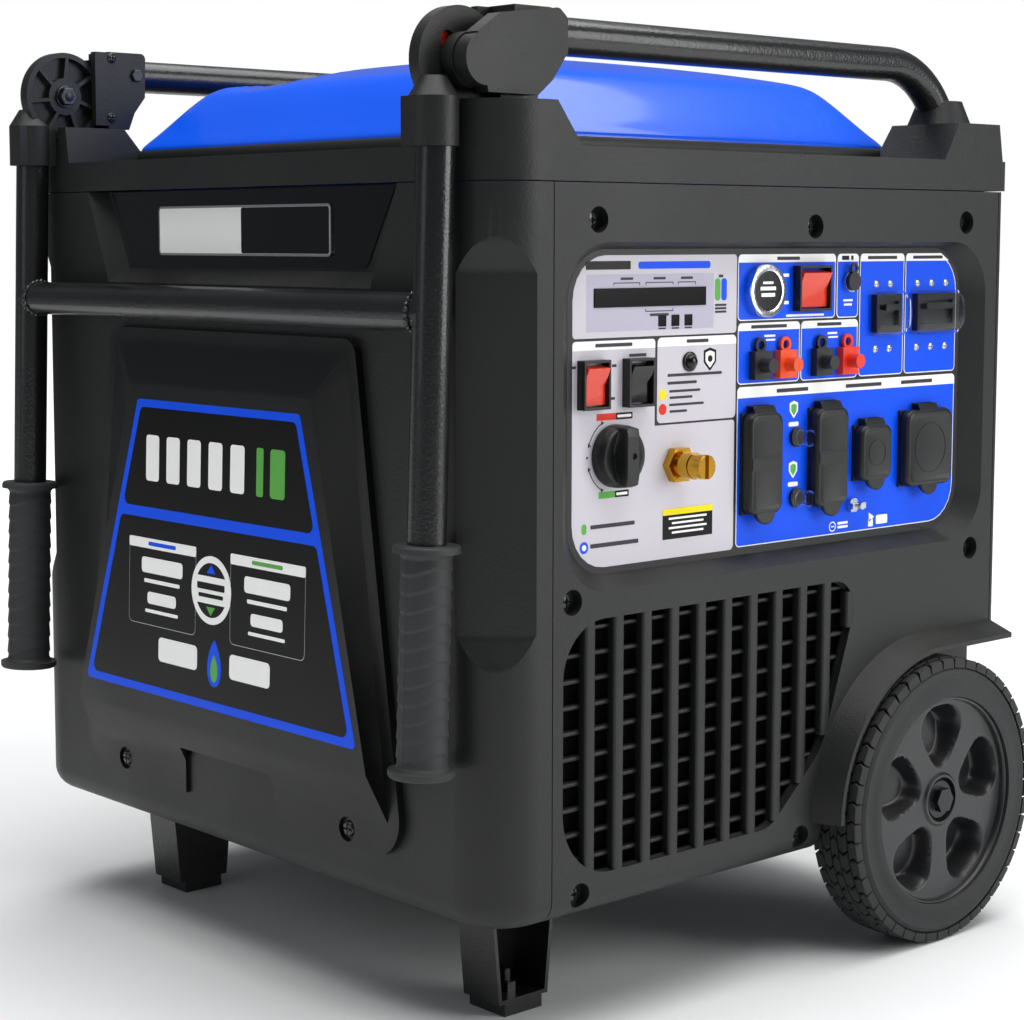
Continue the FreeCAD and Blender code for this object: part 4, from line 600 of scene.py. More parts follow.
def turned_ring(shape, profile, segments):
    """Revolves a closed outline of (y, radius) points about the wheel's axle."""
    rings = [[WHEEL + Vector((r * math.cos(angle), y, r * math.sin(angle))) for y, r in profile]
             for angle in turns(segments)]
    skin_rings(shape, rings + [rings[0]], (False, False))


def tread_block(shape, outline, top):
    """One rubber block: outline of (y, distance round the tyre), from the carcass to the tread."""
    def curved(y, along, radius):
        angle = along / WHEEL_RADIUS
        return Vector((radius * math.sin(angle), y, radius * math.cos(angle)))
    middle = sum((Vector(p) for p in outline), Vector((0, 0))) / len(outline)
    rings = []
    for radius, grow in ((WHEEL_RADIUS - TREAD_DEPTH, TREAD_LEAN), (top - TREAD_EDGE, 0.0), (top, -TREAD_EDGE)):
        ring = []
        for p in outline:
            away = (Vector(p) - middle).normalized() * grow
            ring.append(curved(p[0] + away.x, p[1] + away.y, radius))
        rings.append(ring)
    skin_rings(shape, rings)


def tread_pitch():
    """Five blocks of one pitch: two shoulder lugs and three zigzag blocks."""
    pitch = math.tau * WHEEL_RADIUS / PITCHES
    half = pitch / 2 - GROOVE
    shape = bmesh.new()
    # Each row: from and to across the tyre, its share of a pitch along, the zigzag and how much lower it is.
    rows = ((1.6, 10.2, 0.0, 2.2, 0.9), (11.6, 19.4, 0.5, -3.4, 0.0), (20.6, 27.4, 0.0, 3.4, 0.0),
            (28.6, 36.4, 0.5, -3.4, 0.0), (37.8, TYRE_IN - TYRE_OUT - 1.6, 0.0, 2.2, 0.9))
    for start, end, phase, bend, lower in rows:
        y0, y1 = TYRE_OUT + start, TYRE_OUT + end
        mid = (y0 + y1) / 2
        back, front = phase * pitch - half, phase * pitch + half - SIPE
        outline = ((y0, back), (mid, back + bend), (y1, back), (y1, front), (mid, front + bend), (y0, front))
        tread_block(shape, outline, WHEEL_RADIUS - lower)
    return shape


SIDEWALL = ((TYRE_OUT, RIM_RADIUS), (TYRE_IN, RIM_RADIUS), (TYRE_IN, RIM_RADIUS + 6),
            (TYRE_IN, WHEEL_RADIUS - 16), (TYRE_IN - 1.2, WHEEL_RADIUS - 10.5),
            (TYRE_IN - 4, WHEEL_RADIUS - 7.6), (TYRE_IN - 12, WHEEL_RADIUS - 6.0),
            (TYRE_OUT + 12, WHEEL_RADIUS - 6.0), (TYRE_OUT + 4, WHEEL_RADIUS - 7.6),
            (TYRE_OUT + 1.2, WHEEL_RADIUS - 10.5), (TYRE_OUT, WHEEL_RADIUS - 13),
            (TYRE_OUT + 0.9, WHEEL_RADIUS - 16.2), (TYRE_OUT + 0.9, RIM_RADIUS + 9),
            (TYRE_OUT, RIM_RADIUS + 6.5), (TYRE_OUT, RIM_RADIUS + 3))
for side, mirror in (("near", False), ("far", True)):
    pitch_mesh = bpy.data.meshes.new("pitch")
    pitch_shape = tread_pitch()
    bmesh.ops.recalc_face_normals(pitch_shape, faces=pitch_shape.faces)
    pitch_shape.to_mesh(pitch_mesh)
    pitch_shape.free()
    tread_mesh = run_tree(ring_tree, pitch_mesh, "tread_" + side, Copies=PITCHES, Material=FINISH["tyre_rubber"])
    tread = bmesh.new()
    tread.from_mesh(tread_mesh)
    bmesh.ops.translate(tread, vec=WHEEL, verts=tread.verts)
    turned_ring(tread, SIDEWALL, CARCASS_STEPS)
    finish_piece("tyre_" + side + "_rubber", tread, side + "_wheel", "tyre_rubber",
                 node="tyre_" + side, mirror=mirror, crease=40)

# %% [markdown]
# ## Wheels
# The moulded wheel is a dished web with five scooped pockets and a raised hub. Its whole face is one
# height over radius and angle, so a polar grid with a height rule makes the scoops' smooth walls.

# %% Wheel face
WEB, HUB, LIP, INNER = 337.0, 334.0, 342.0, 298.8
BORE_RADIUS = 8.06
SPOKES, POCKETS = 260, 5
HEIGHTS = ((BORE_RADIUS, HUB - 1), (12.4, HUB - 1), (13.4, HUB + 2.0), (14.6, HUB + 2.0), (15.6, HUB - 3),
           (17.8, HUB - 3), (19.0, WEB + 1.9), (21.0, WEB + 2.0), (23.0, WEB), (30, WEB), (81, WEB),
           (84.4, WEB + 0.4), (85.2, LIP - 0.6), (86.0, LIP), (87.0, LIP), (RIM_RADIUS, LIP - 1.4))


def web_height(radius):
    """How far out the wheel's face stands at a radius, before its pockets."""
    for (r0, h0), (r1, h1) in zip(HEIGHTS, HEIGHTS[1:]):
        if radius <= r1:
            return h0 + (h1 - h0) * ease(radius, r0, r1)
    return HEIGHTS[-1][1]


def scoop(radius, angle):
    """Depth of the egg-shaped pockets, deeper towards the rim."""
    nearest = round((angle - math.pi / 2) / (math.tau / POCKETS)) * math.tau / POCKETS + math.pi / 2
    u, v = radius * math.cos(angle - nearest), radius * math.sin(angle - nearest)
    width = 15.5 + 12.5 * ease(u, 28, 66)
    inside = (abs(v) / width) ** 2.5 + (abs(u - 54.5) / 27.0) ** 2.5
    return (15 + 8 * ease(u, 36, 78)) * ease(1.0 - inside, 0.0, 0.62)


RADII = [BORE_RADIUS, 10, 12.4, 12.9, 13.4, 14.6, 15.1, 15.6, 17.8, 18.4, 19, 21, 22, 23, 25] \
    + [26 + 1.2 * k for k in range(48)] + [83.2, 84.4, 84.8, 85.2, 86, 87, RIM_RADIUS]
BACK = ((RIM_RADIUS, 299.5), (RIM_RADIUS - 1, 298.6), (82, 298.6), (79, 304), (30, 305), (24, INNER),
        (BORE_RADIUS, INNER), (BORE_RADIUS, HUB - 1))


def wheel_point(radius, angle, out):
    """Point of the near wheel: radius and angle about its axle, and how far out it stands."""
    return WHEEL + Vector((radius * math.cos(angle), -out, radius * math.sin(angle)))


for side, mirror in (("near", False), ("far", True)):
    wheel = bmesh.new()
    rings = [[wheel_point(r, a, web_height(r) - scoop(r, a)) for a in turns(SPOKES)] for r in RADII]
    rings += [[wheel_point(r, a, out) for a in turns(SPOKES)] for r, out in BACK]
    skin_rings(wheel, rings, (False, False))
    finish_piece("wheel_" + side, wheel, side + "_wheel", "rim_plastic",
                 node="rim_" + side, mirror=mirror, crease=45)

# %% [markdown]
# ## Printed fields
# The panel's labels are thin polyester films, printed in flat colours. Each film or printed shape is a
# closed plate a tenth of a millimetre thick, so the layers never fight and every mark is real geometry.
# Words and marks of the maker are left out: plain bars stand where lettering would be.

# %% Print colours and the layering helper
PRINT = {
    "grey": opaque("Film grey", "cfcbd3", 0.34, 1500.0, 0.01, 0.02, 0.02, 0.1, specular=0.2),
    "lilac": opaque("Film lilac", "bab6c8", 0.3, 1500.0, 0.01, 0.02, 0.02, 0.1, specular=0.2),
    "white": opaque("Film white", "fefefc", 0.34, 1500.0, 0.01, 0.02, 0.02, 0.1, specular=0.2),
    "blue": opaque("Film blue", "0052f2", 0.4, 1500.0, 0.01, 0.03, 0.01, 0.1, specular=0.2),
    "black": opaque("Film black", "050505", 0.32, 1500.0, 0.01, 0.1, 0.02, 0.2, specular=0.2),
    "ink": opaque("Grey ink", "3a3a40", 0.4, 1500.0, 0.01, 0.05, 0.02, 0.1, specular=0.2),
    "red": opaque("Film red", "e3301c", 0.34, 1500.0, 0.01, 0.03, 0.01, 0.1, specular=0.2),
    "green": opaque("Film green", "5fae4e", 0.34, 1500.0, 0.01, 0.03, 0.01, 0.1, specular=0.2),
    "yellow": opaque("Film yellow", "f6e21a", 0.34, 1500.0, 0.01, 0.03, 0.01, 0.1, specular=0.2),
    "silver": opaque("Silver foil", "c6c8ca", 0.3, 900.0, 0.02, 0.05, 0.01, 0.2, metallic=0.9),
}
LAYER, SUNK = 0.12, -0.05
ARC_PARTS = 20


def printed(name, shapes, to_space, slot, body="root"):
    """One piece from (outline, layer, colour) shapes stacked on a surface."""
    used = sorted({colour for _, _, colour in shapes})
    film = bmesh.new()
    for outline, layer, colour in shapes:
        prism(film, outline, to_space, SUNK, (layer + 1) * LAYER, used.index(colour))
    return finish_piece(name, film, body, slot, *(PRINT[colour] for colour in used), crease=20)


def bar(u, v, width, height, layer, colour, radius=0.6):
    """Rounded bar about its middle, as a printed shape."""
    radius = min(radius, width / 2.1, height / 2.1)
    return oblong(u - width / 2, u + width / 2, v - height / 2, v + height / 2, radius, 3), layer, colour


def bars(layer, colour, *rows):
    """Several bars of one layer and colour, from rows of place, size and perhaps corner radius."""
    return [bar(*row[:4], layer, colour, *row[4:]) for row in rows]


def round_point(u, v, radius, angle):
    """Flat point at a radius and an angle about a middle."""
    return Vector((u + radius * math.cos(angle), v + radius * math.sin(angle)))


def spot(u, v, radius, layer, colour, steps=24):
    """Disc, or with three steps a pointer, as a printed shape."""
    return [round_point(u, v, radius, angle) for angle in turns(steps)], layer, colour


def arc_band(u, v, radius, width, start, end, layer, colour):
    """Curved line as a printed shape, between two angles in degrees."""
    angles = [math.radians(start + (end - start) * k / ARC_PARTS) for k in range(ARC_PARTS + 1)]
    outer = [round_point(u, v, radius + width / 2, a) for a in angles]
    inner = [round_point(u, v, radius - width / 2, a) for a in angles]
    return outer + inner[::-1], layer, colour


# %% Grey half: display, fuel choice, alarm and gas fields
grey_half = [
    (rounded(((-206, 518.5, 3), (-31, 518.5, 3), (-31, 578.5, 3), (-206, 578.5, 33))), 0, "grey"),
    (rounded(((-206, 350, 33), (-32, 350, 4), (-32, 451.4, 3), (-120.5, 451.4, 0), (-120.5, 516.5, 3),
              (-206, 516.5, 3))), 0, "grey"),
    (oblong(-118, -31, 453, 517, 4), 0, "grey"),
    (rounded(((-206, 509.8, 0), (-120.5, 509.8, 0), (-120.5, 516.5, 3), (-206, 516.5, 3))), 1, "white"),
    (rounded(((-118, 510.2, 0), (-31, 510.2, 0), (-31, 517, 4), (-118, 517, 4))), 1, "white"),
    (oblong(-192, -57, 523, 564.5, 1), 1, "lilac"),
    bar(-170, 571.2, 46, 6.2, 1, "black", 0.8), bar(-100, 571, 78, 5.4, 1, "blue", 2.0),
    *bars(2, "ink", (-164, 513.2, 38, 2.6), (-74.5, 513.6, 24, 2.6)),
    *bars(1, "ink", (-139, 505, 18, 2.2), (-205, 498, 5, 2), (-163.5, 498, 5, 2), (-165, 474, 5, 2)),
]
for middle, width in ((-151, 27), (-116.5, 29), (-87, 19)):
    grey_half += bars(2, "ink", (middle, 558.2, width, 0.7, 0.1), (middle - width / 2, 557.4, 0.7, 2.2, 0.1),
                      (middle + width / 2, 557.4, 0.7, 2.2, 0.1), (middle, 561.3, 13, 1.9))
grey_half += bars(2, "ink", (-116.5, 537.0, 29, 0.7, 0.1), (-131, 537.8, 0.7, 2.2, 0.1),
                  (-102, 537.8, 0.7, 2.2, 0.1), (-116.5, 534.3, 20, 2))
grey_half += [bar(-113.4 + 14.2 * i, 523.9, 8, 1.2, 2, "ink") for i in range(3)]
grey_half += [bar(-52.6, 552, 6.2, 17, 1, "green", 2.6), bar(-45.4, 552, 6.2, 17, 1, "blue", 2.6),
              bar(-49, 562.2, 5, 2.2, 1, "ink")]
grey_half += [bar(-49, 540.2 - 2.6 * i, 13, 1.7, 1, "ink") for i in range(3)]
grey_half += bars(1, "ink", (-77, 488.5, 60, 2.2), (-91, 482.6, 32, 2.2), (-88, 476.4, 34, 1.9),
                  (-92, 471.6, 25, 1.9), (-86, 466.2, 38, 1.9), (-95, 461.2, 19, 1.9))
grey_half += [spot(-112, 474.2, 4.2, 1, "yellow"), spot(-112, 463.2, 4.2, 1, "red")]
shield = rounded(((-67.5, 506, 1), (-60.5, 508, 1), (-53.5, 506, 1),
                  (-53.5, 497, 3), (-60.5, 490, 1.2), (-67.5, 497, 3)), 4)
inner_shield = [Vector((-60.5 + (p.x + 60.5) * 0.72, 499.5 + (p.y - 499.5) * 0.74)) for p in shield]
grey_half += [(shield, 1, "black"), (inner_shield, 2, "white"), spot(-60.5, 499.6, 2.6, 3, "black")]
KNOB = ((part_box("fuel_knob")[0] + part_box("fuel_knob")[1]) / 2 - Vector((CASE_MIDDLE, 0, 0))) / MM
for colour, middle, length, black_middle, black_length, level in (("red", -8, 20, 10.5, 17.5, KNOB.z + 29),
                                                                  ("green", -7, 17, 8.5, 14.5, KNOB.z - 28.5)):
    grey_half += [bar(KNOB.x + middle, level, length, 5, 1, colour, 0.5),
                  bar(KNOB.x + black_middle, level, black_length, 5, 1, "black", 0.5),
                  bar(KNOB.x + black_middle, level, black_length - 3, 2, 2, "white", 0.5)]
KNOB_ARC, KNOB_ARCS = 28, ((118, 162), (198, 242))
grey_half += [arc_band(KNOB.x + 1, KNOB.z, KNOB_ARC, 0.8, start, end, 1, "ink") for start, end in KNOB_ARCS]
for angle in KNOB_ARCS[0] + KNOB_ARCS[1]:
    tip = round_point(KNOB.x + 1, KNOB.z, KNOB_ARC, math.radians(angle))
    grey_half.append(spot(tip.x, tip.y, 1.9, 2, "ink", 3))
grey_half += [spot(KNOB.x - 27.5, KNOB.z, 0.9, 1, "ink"), bar(-193.5, 379.5, 5, 8, 1, "green", 2.4),
              bar(-164, 380.5, 46, 3.0, 1, "ink"),
              spot(-193.5, 366, 4.4, 1, "blue"), spot(-193.5, 366, 2.2, 2, "white"),
              bar(-162, 366.5, 50, 3.2, 1, "ink"),
              bar(-83.5, 376, 55, 23.3, 1, "black", 0.6), bar(-83.5, 385.2, 55, 4.9, 2, "yellow", 0.6)]
grey_half += [bar(-83.5, 380 - 3.6 * i, 42 - 7 * (i % 2), 1.6, 2, "white") for i in range(4)]
printed("grey_panel_film", grey_half, on_plate, "panel_plastic")

# %% [markdown]
# The blue half has one film for each group of fittings, each with a white outline and a white head.

# %% Blue half
blue_half = []
EVEN = (4, 4, 4, 4)
# Start, charging, parallel, direct current, small breaker, main breaker and outlets: their sides, the
# radii of their corners and the height of their heads.
FIELDS = ((-29.5, 87, 527.3, 578.5, EVEN, 6.3), (89, 116, 527, 578.5, EVEN, 6.3),
          (-29, 44, 478, 525.5, EVEN, 6.0), (45.6, 116, 478, 525.5, EVEN, 6.0),
          (118, 175.5, 478.5, 578.5, EVEN, 6.3), (177.5, 247, 478.5, 578.5, (4, 4, 32, 4), 6.3),
          (-29, 247, 351, 476, (4, 32, 4, 4), 8.6))
for x0, x1, z0, z1, corners, head in FIELDS:
    def frame_of(gap):
        spots = ((x0 + gap, z0 + gap), (x1 - gap, z0 + gap), (x1 - gap, z1 - gap), (x0 + gap, z1 - gap))
        return rounded([(u, v, max(0.5, r - gap)) for (u, v), r in zip(spots, corners)])
    blue_half += [(frame_of(0), 0, "white"), (frame_of(0.8), 1, "blue")]
    # Beside the panel's wide corner the head stops short, and slants.
    cut = (11, 22, 3) if corners[2] > 9 else (0, 0, corners[2])
    blue_half.append((rounded(((x0, z1 - head, 0), (x1 - cut[0], z1 - head, 0), (x1 - cut[1], z1, cut[2]),
                               (x0, z1, corners[3]))), 2, "white"))
blue_half += bars(3, "black", (99, 575.2, 9, 3.4), (107.5, 575.2, 3, 3.4))
blue_half += bars(3, "ink", (29, 575.2, 27, 2.6), (7, 522.4, 42, 2.6), (80, 522.4, 30, 2.6),
                  (146.5, 575.2, 38, 2.6), (207, 575.2, 40, 2.6), (36, 471.4, 38, 3), (125, 471.4, 46, 3),
                  (195, 471.4, 42, 3))
blue_half += bars(2, "white", (26.5, 562, 7, 2.6), (27, 540.5, 6, 2.6), (50, 530.2, 46, 1.8),
                  (103, 541, 12, 1.7), (103, 537.6, 10, 1.7), (8, 515, 13, 1.6), (9, 511.8, 11, 1.4),
                  (84, 515, 12, 1.6), (85, 511.8, 12, 1.4))
for z in (455.5, 407.5):
    badge = rounded(((33, z + 5.4, 1), (38, z + 7, 1), (43, z + 5.4, 1),
                     (43, z - 1, 2), (38, z - 7, 1), (33, z - 1, 2)), 3)
    inside = [Vector((38 + (p.x - 38) * 0.66, z + (p.y - z) * 0.7)) for p in badge]
    blue_half += [(badge, 2, "white"), (inside, 3, "green"), bar(38, z - 11.5, 12, 3.6, 2, "white", 1.4)]
blue_half += [spot(88, 357.5, 4.2, 2, "white"), spot(88, 357.5, 3.2, 3, "blue"), bar(88, 357.5, 4, 0.9, 4, "white"),
              bar(101, 359.6, 13, 2, 2, "white"), bar(101, 356.4, 13, 2, 2, "white"),
              bar(137, 356.5, 6, 6, 2, "white", 0.6), spot(137, 361.2, 4.6, 2, "white", 3),
              bar(151.5, 358.5, 15, 7.5, 2, "white", 1.4)]
printed("blue_panel_film", blue_half, on_plate, "panel_plastic")

# %% [markdown]
# ## The front cover's decal and the badge plate
# The decal is a blue-framed black trapezoid in two fields. Its wording and figures belong to the
# maker, so plain bars, empty boxes, a ring with two pointers and a plain drop keep its balance.

# %% Decal
PAD_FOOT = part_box("access_cover")[0].x / MM - CASE_MIDDLE / MM
PAD_LEAN, PAD_BASE = math.radians(1.8), 198.0
DECAL_LOW, DECAL_HIGH, DECAL_HALF, DECAL_TAPER = 215, 459, 187, 0.309


def on_pad(u, v, h):
    """Point on the front cover's leaning pad: u across, v up, h out."""
    up = v - PAD_BASE
    return Vector((PAD_FOOT + up * math.sin(PAD_LEAN) - h, u, PAD_BASE + up * math.cos(PAD_LEAN)))


def tapered(low, high, margin=0.0, radius=4.0):
    """Outline of the decal's width between two heights, less a margin."""
    wide_low, wide_high = (DECAL_HALF - (z - DECAL_LOW) * DECAL_TAPER - margin for z in (low, high))
    return rounded(((-wide_low, low, radius), (wide_low, low, radius),
                    (wide_high, high, radius), (-wide_high, high, radius)))


def drop(u, v, wide, tall):
    """Pointed drop, as a printed outline."""
    return [Vector((u + wide * math.sin(angle) * abs(math.cos(angle / 2)) ** 0.6, v - tall * math.cos(angle)))
            for angle in turns(18)]


decal = [(tapered(DECAL_LOW, DECAL_HIGH), 0, "blue"), (tapered(370, 452.5, 7, 6), 1, "black"),
         (tapered(222, 361, 7, 6), 1, "black")]
decal += [bar(88 - 30 * i, 411, 19, 38, 2, "white", 3) for i in range(5)]
decal += [bar(-62, 411, 9, 38, 2, "green", 2), bar(-85, 411, 19, 38, 2, "green", 3)]
for side, colour in ((1, "blue"), (-1, "green")):
    middle = 73 * side - 1
    decal += [bar(middle, 308, 98, 72, 2, "silver", 5), bar(middle, 308, 97, 71, 3, "black", 4.6),
              bar(middle, 340, 98, 8.4, 4, "white", 1.5), bar(middle, 340, 40, 3.2, 5, colour, 1),
              bar(middle, 322, 60, 13, 4, "white", 3), bar(middle, 309, 52, 3.2, 4, "white", 1),
              bar(middle, 295, 42, 10, 4, "white", 3), bar(middle, 284, 48, 2.8, 4, "white", 1)]
decal += [spot(1, 311.5, 27.5, 5, "white", 40), spot(1, 311.5, 22, 6, "black", 40),
          bar(1, 311.5, 46, 22, 7, "white", 1),
          bar(1, 314.5, 38, 5.4, 8, "black", 1), bar(1, 307, 34, 3.2, 8, "black", 1),
          ([Vector((-5, 325)), Vector((7, 325)), Vector((1, 332))], 7, "blue"),
          ([Vector((-5, 298)), Vector((1, 291)), Vector((7, 298))], 7, "green"),
          (drop(-4, 253, 11.5, 19), 2, "blue"), (drop(-4, 249, 6, 11), 3, "green"),
          bar(48, 254, 56, 20, 2, "white", 4), bar(-52, 254, 54, 20, 2, "white", 4)]
printed("front_decal", decal, on_pad, "cover_plastic")

# %% Badge plate in its recess
RECESS_X = END_X + 14.0


def on_recess(u, v, h):
    """Point in the front end's recess: u across, v up, h out."""
    return Vector((RECESS_X - h, u, v))


inset = bmesh.new()
prism(inset, rounded(((-158, 568.5, 9), (158, 568.5, 9), (192, 629.5, 1), (-192, 629.5, 1))), on_recess, -0.1, 0.9)
finish_piece("badge_inset", inset, "root", "black_gloss")
badge = bmesh.new()
for index, (grow, low, high) in enumerate(((0, 0.8, 2.6), (-1.8, 2.6, 2.8))):
    prism(badge, oblong(-117 - grow, 117 + grow, 577 - grow, 617 + grow, 4 + grow), on_recess, low, high, index)
prism(badge, oblong(-115, -1, 579, 615, 2), on_recess, 2.7, 3.0, 2)
finish_piece("badge_plate", badge, "root", "chrome_ring", FINISH["chrome_ring"], PRINT["white"], FINISH["black_gloss"],
             crease=20)

# %% [markdown]
# ## Air-intake grille
# Deep upright bars stand in front of level fins, and behind them it is dark. The bars run to the
# rounded outline, so their ends are found on it; then the slat tree sweeps a soft-edged section along
# every line.

# %% Lines of the grille
GRILLE = rounded(((-227, 125, 46), (0, 125, 28), (63, 180, 60), (110, 315, 24), (-227, 315, 42)), 14)


def span_at(outline, level, along):
    """Low and high place where a line crosses an outline; along is 0 for a level line, 1 for upright."""
    hits = []
    for a, b in zip(outline, outline[1:] + outline[:1]):
        p, q = (a[1 - along], b[1 - along])
        if (p - level) * (q - level) <= 0 and p != q:
            hits.append(a[along] + (b[along] - a[along]) * (level - p) / (q - p))
    return (min(hits), max(hits)) if len(hits) > 1 else None


def line_mesh(name, pairs):
    """Mesh of loose edges, one for each pair of places in millimetres."""
    mesh = bpy.data.meshes.new(name)
    points = [TO_FRAME @ Vector(p) for pair in pairs for p in pair]
    mesh.from_pydata(points, [(2 * i, 2 * i + 1) for i in range(len(pairs))], [])
    return mesh


BAR_Y, FIN_Y = SIDE_Y + 4.6, SIDE_Y + 9.5
BAR_PITCH, FIN_PITCH, SLAT_OVERLAP, SHORTEST = 29.6, 19, 2, 20
uprights, fins = [], []
for i in range(11):
    x = -199 + BAR_PITCH * i
    ends = span_at(GRILLE, x, 1)
    if ends and ends[1] - ends[0] > SHORTEST:
        uprights.append(((x, BAR_Y, ends[0] - SLAT_OVERLAP), (x, BAR_Y, ends[1] + SLAT_OVERLAP)))
for i in range(10):
    z = 137 + FIN_PITCH * i
    ends = span_at(GRILLE, z, 0)
    fins.append(((ends[0] - SLAT_OVERLAP, FIN_Y, z), (ends[1] + SLAT_OVERLAP, FIN_Y, z)))
grille = bmesh.new()
for name, pairs, width, depth, radius in (("bars", uprights, 10.5, 9.0, 2.2), ("fins", fins, 6.4, 3.4, 1.2)):
    made = run_tree(slat_tree, line_mesh(name, pairs), name, Width=width * MM, Depth=depth * MM,
                    Edge_Radius=radius * MM, Material=FINISH["black_plastic"])
    print(name, len(pairs), "slats,", len(made.polygons), "faces")
    grille.from_mesh(made)
bmesh.ops.transform(grille, matrix=TO_FRAME.inverted(), verts=grille.verts)
centre = sum(GRILLE, Vector((0, 0))) / len(GRILLE)


def grown(point, grow):
    """Point of the grille's outline, moved away from its middle."""
    return point + (point - centre).normalized() * grow


BORDER = ((5, -4.2), (5, -7.4), (-1.5, -7.4), (-1.5, -4.2))
rings = [[on_side(*grown(p, grow), depth) for p in GRILLE] for grow, depth in BORDER]
skin_rings(grille, rings + [rings[0]], (False, False))
finish_piece("grille_slats", grille, "root", "black_plastic", node="intake_grille")

# %% [markdown]
# A near-black matte sheet stands behind the fins: painted shade, standing in for the dark, shadowed inside of the
# case.

# %% Painted shade sheet behind the grille
shade_sheet = bmesh.new()
prism(shade_sheet, [grown(p, 2) for p in GRILLE], on_side, -15.5, -13.2)
# Painted shade: this near-black sheet sits where only the case's shadowed inside would show.
finish_piece("intake_foam", shade_sheet, "root", "foot_rubber",
             opaque("Painted shade sheet", "060606", 0.9, 260.0, 0.25, 0.3, 0.0, 0.0, specular=0.1))

# %% [markdown]
# ## Handle grips
# Soft rubber sleeves with a wavy rib every thirteen millimetres, two seam strips, and a flange at each
# end. The ribs follow a rule round the sleeve, so the radius is one function of place and angle.

# %% Grips
GRIP_LOW, GRIP_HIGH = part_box("handle_grips")
GRIP_MIDDLE = Vector(((GRIP_LOW.x + GRIP_HIGH.x) / 2 / MM - CASE_MIDDLE / MM, 0,
                      (GRIP_LOW.z + GRIP_HIGH.z) / 2 / MM))
LEAN = math.radians(1.845)
GRIP_Y, GRIP_HALF = 272.0, 82.5
SLEEVE, SLEEVE_BORE, FLANGE, FLANGE_WIDTH = 17.7, 14.05, 24.3, 5.4
RIB, RIB_PITCH, RIB_EDGE, SEAM, PLAIN_END = 1.15, 13.2, 0.12, 0.9, 9


def sleeve_radius(t, angle):
    """Radius of the sleeve at t millimetres from its middle."""
    edge = GRIP_HALF - abs(t)
    if edge < FLANGE_WIDTH:
        return FLANGE - max(0.0, 1.6 - edge) * 0.8
    wave = 3.2 * math.cos(2 * angle)
    along = ((t + wave + 200) / RIB_PITCH) % 1.0
    rib = RIB * (1 - along) if along > RIB_EDGE else RIB * along / RIB_EDGE
    seam = SEAM * max(0.0, 1 - abs(math.sin(angle)) / 0.09)
    raised = rib + seam if abs(t) < GRIP_HALF - PLAIN_END else 0.4
    return SLEEVE + raised + 2.0 * ease(PLAIN_END - edge, 0, 3.6)


axis = Vector((math.sin(LEAN), 0, math.cos(LEAN)))
across = Vector((math.cos(LEAN), 0, -math.sin(LEAN)))
ENDS = (0, 0.8, 1.7, 5.3)
levels = [-GRIP_HALF + end for end in ENDS] + [-GRIP_HALF + 5.5 + 1.1 * k for k in range(141)] \
    + [GRIP_HALF - end for end in ENDS]
levels = sorted({round(t, 3) for t in levels if abs(t) <= GRIP_HALF})
for side, y in (("near", -GRIP_Y), ("far", GRIP_Y)):
    def around(t, radius_at):
        """Ring about the grip's axis, t millimetres from its middle."""
        middle = Vector((GRIP_MIDDLE.x, y, GRIP_MIDDLE.z)) + axis * t
        return [middle + (across * math.cos(a) + ALONG_Y * math.sin(a)) * radius_at(t, a) for a in turns(72)]
    grip = bmesh.new()
    rings = [around(t, sleeve_radius) for t in levels]
    rings += [around(t, lambda t, a: SLEEVE_BORE) for t in (GRIP_HALF, -GRIP_HALF)]
    skin_rings(grip, rings + [rings[0]], (False, False))
    both = ["handle_grips"] if side == "near" else None
    finish_piece("grip_" + side, grip, "handle", "grip_rubber", node=both, crease=50)

# %% [markdown]
# ## Weld beads
# The cross tube is welded to the legs. A bead is a thin ring with the ripple that the torch leaves.

# %% Beads
CROSS, CROSS_RADIUS = Vector((-314.3, 0, 539.2)), 14.2
beads = bmesh.new()
for y in (-257.6, 257.6):
    rings = []
    for angle in turns(84):
        small = 2.1 + 0.55 * math.sin(26 * angle) + 0.25 * math.sin(9 * angle)
        out = Vector((math.cos(angle), 0, math.sin(angle)))
        dip = 9.0 * (1 - math.sqrt(max(0.0, 1 - (math.cos(angle) * 0.72) ** 2)))
        seat = CROSS + ALONG_Y * (y + math.copysign(dip, y)) + out * CROSS_RADIUS
        rings.append([seat + (out * math.cos(m) + ALONG_Y * math.sin(m)) * small for m in turns(8)])
    skin_rings(beads, rings + [rings[0]], (False, False))
finish_piece("weld_beads", beads, "handle", "black_paint", crease=60)

# %% [markdown]
# ## Weather lids
# Each outlet hides behind a soft-cornered lid with a hinge block above and a tongue below. A lid is a
# stack of rounded outlines that draw in towards the front, which gives its rolled edge.

# %% Lids
TONGUE_BELOW, HINGE_ABOVE, HINGE_HALF = 9, 5, 12.5


